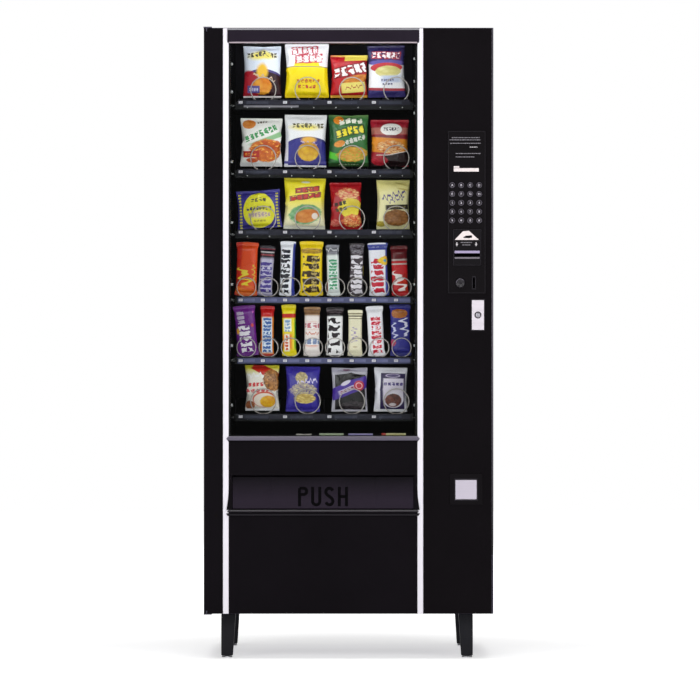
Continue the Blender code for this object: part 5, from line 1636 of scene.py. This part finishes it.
# ------------------------------------------------------------------ stage, light, camera
def stage_floor():
    """A plain pale floor that runs out to white."""
    bm = bmesh.new()
    bmesh.ops.create_grid(bm, x_segments=12, y_segments=12, size=16.0)
    mesh = bpy.data.meshes.new("studio_floor")
    bm.to_mesh(mesh)
    bm.free()
    g = Graph("studio_white", (0.86, 0.86, 0.86, 1), 0.9, spec=0.0)
    at = g.coords()
    g.paint(g.mix(g.noise(at, 0.6, 2.0), (0.85, 0.85, 0.85, 1), (0.87, 0.87, 0.87, 1)))
    away = g.node("ShaderNodeVectorMath", operation="LENGTH")
    g.put(away.inputs[0], at)
    # painted light: the floor glows, weaker within about a metre of the machine so its real shadow still shows, and
    # full far out so it meets the white world
    g.put(g.b.inputs["Emission Strength"], g.remap(away.outputs["Value"], 0.9, 2.6, 0.55, 1.05))
    g.b.inputs["Emission Color"].default_value = (1, 1, 1, 1)
    mesh.materials.append(g.mat)
    obj = link(bpy.data.objects.new("studio_floor", mesh))
    obj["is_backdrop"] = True
    return obj


stage_floor()


def area(name, at, toward, size, watts, colour=(1, 1, 1), size_y=None):
    data = bpy.data.lights.new(name, "AREA")
    data.energy = watts
    data.color = colour
    data.shape = "RECTANGLE" if size_y else "SQUARE"
    data.size = size
    if size_y:
        data.size_y = size_y
    obj = link(bpy.data.objects.new(name, data))
    obj.location = at
    d = Vector(toward) - Vector(at)
    obj.rotation_euler = d.to_track_quat("-Z", "Y").to_euler()
    return obj


area("soft_left", (-4.2, -9.6, 2.9), (0, -0.4, 1.0), 3.0, 195.0)
area("soft_right", (4.2, -9.6, 2.9), (0, -0.4, 1.0), 3.0, 195.0)
area("high_front", (0.0, -9.0, 4.6), (0, -0.4, 1.0), 3.0, 190.0)
area("soft_back", (0.0, 9.0, 4.4), (0, 0.4, 1.0), 3.0, 170.0)
area("floor_wash", (0.0, -1.2, 5.8), (0, -0.6, 0.0), 4.0, 180.0)

world = bpy.data.worlds.new("studio_world")
bpy.context.scene.world = world
world.use_nodes = True
wn, wl = world.node_tree.nodes, world.node_tree.links
bg = wn["Background"]
bg.inputs["Color"].default_value = (1, 1, 1, 1)
lp = wn.new("ShaderNodeLightPath")
mr = wn.new("ShaderNodeMapRange")
mr.inputs["To Min"].default_value = 0.06
mr.inputs["To Max"].default_value = 1.0
wl.new(lp.outputs["Is Camera Ray"], mr.inputs["Value"])
wl.new(mr.outputs["Result"], bg.inputs["Strength"])

cam_data = bpy.data.cameras.new("camera")
cam = link(bpy.data.objects.new("camera", cam_data))
cam.location = (0.0039, -18.441, 0.8938)
cam.rotation_euler = (math.pi / 2, 0, 0)
cam_data.sensor_width = 36.0
cam_data.lens = 36.0 * 18.0 / 2.0244
cam_data.clip_end = 100.0
cam_data.clip_start = 0.5
scene = bpy.context.scene
scene.camera = cam
scene.view_settings.view_transform = "Standard"
scene.view_settings.look = "None"
scene.view_settings.exposure = 0.0
scene.view_settings.gamma = 1.0

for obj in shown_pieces():
    first = obj.data.materials[0] if obj.type == "MESH" and len(obj.data.materials) else None
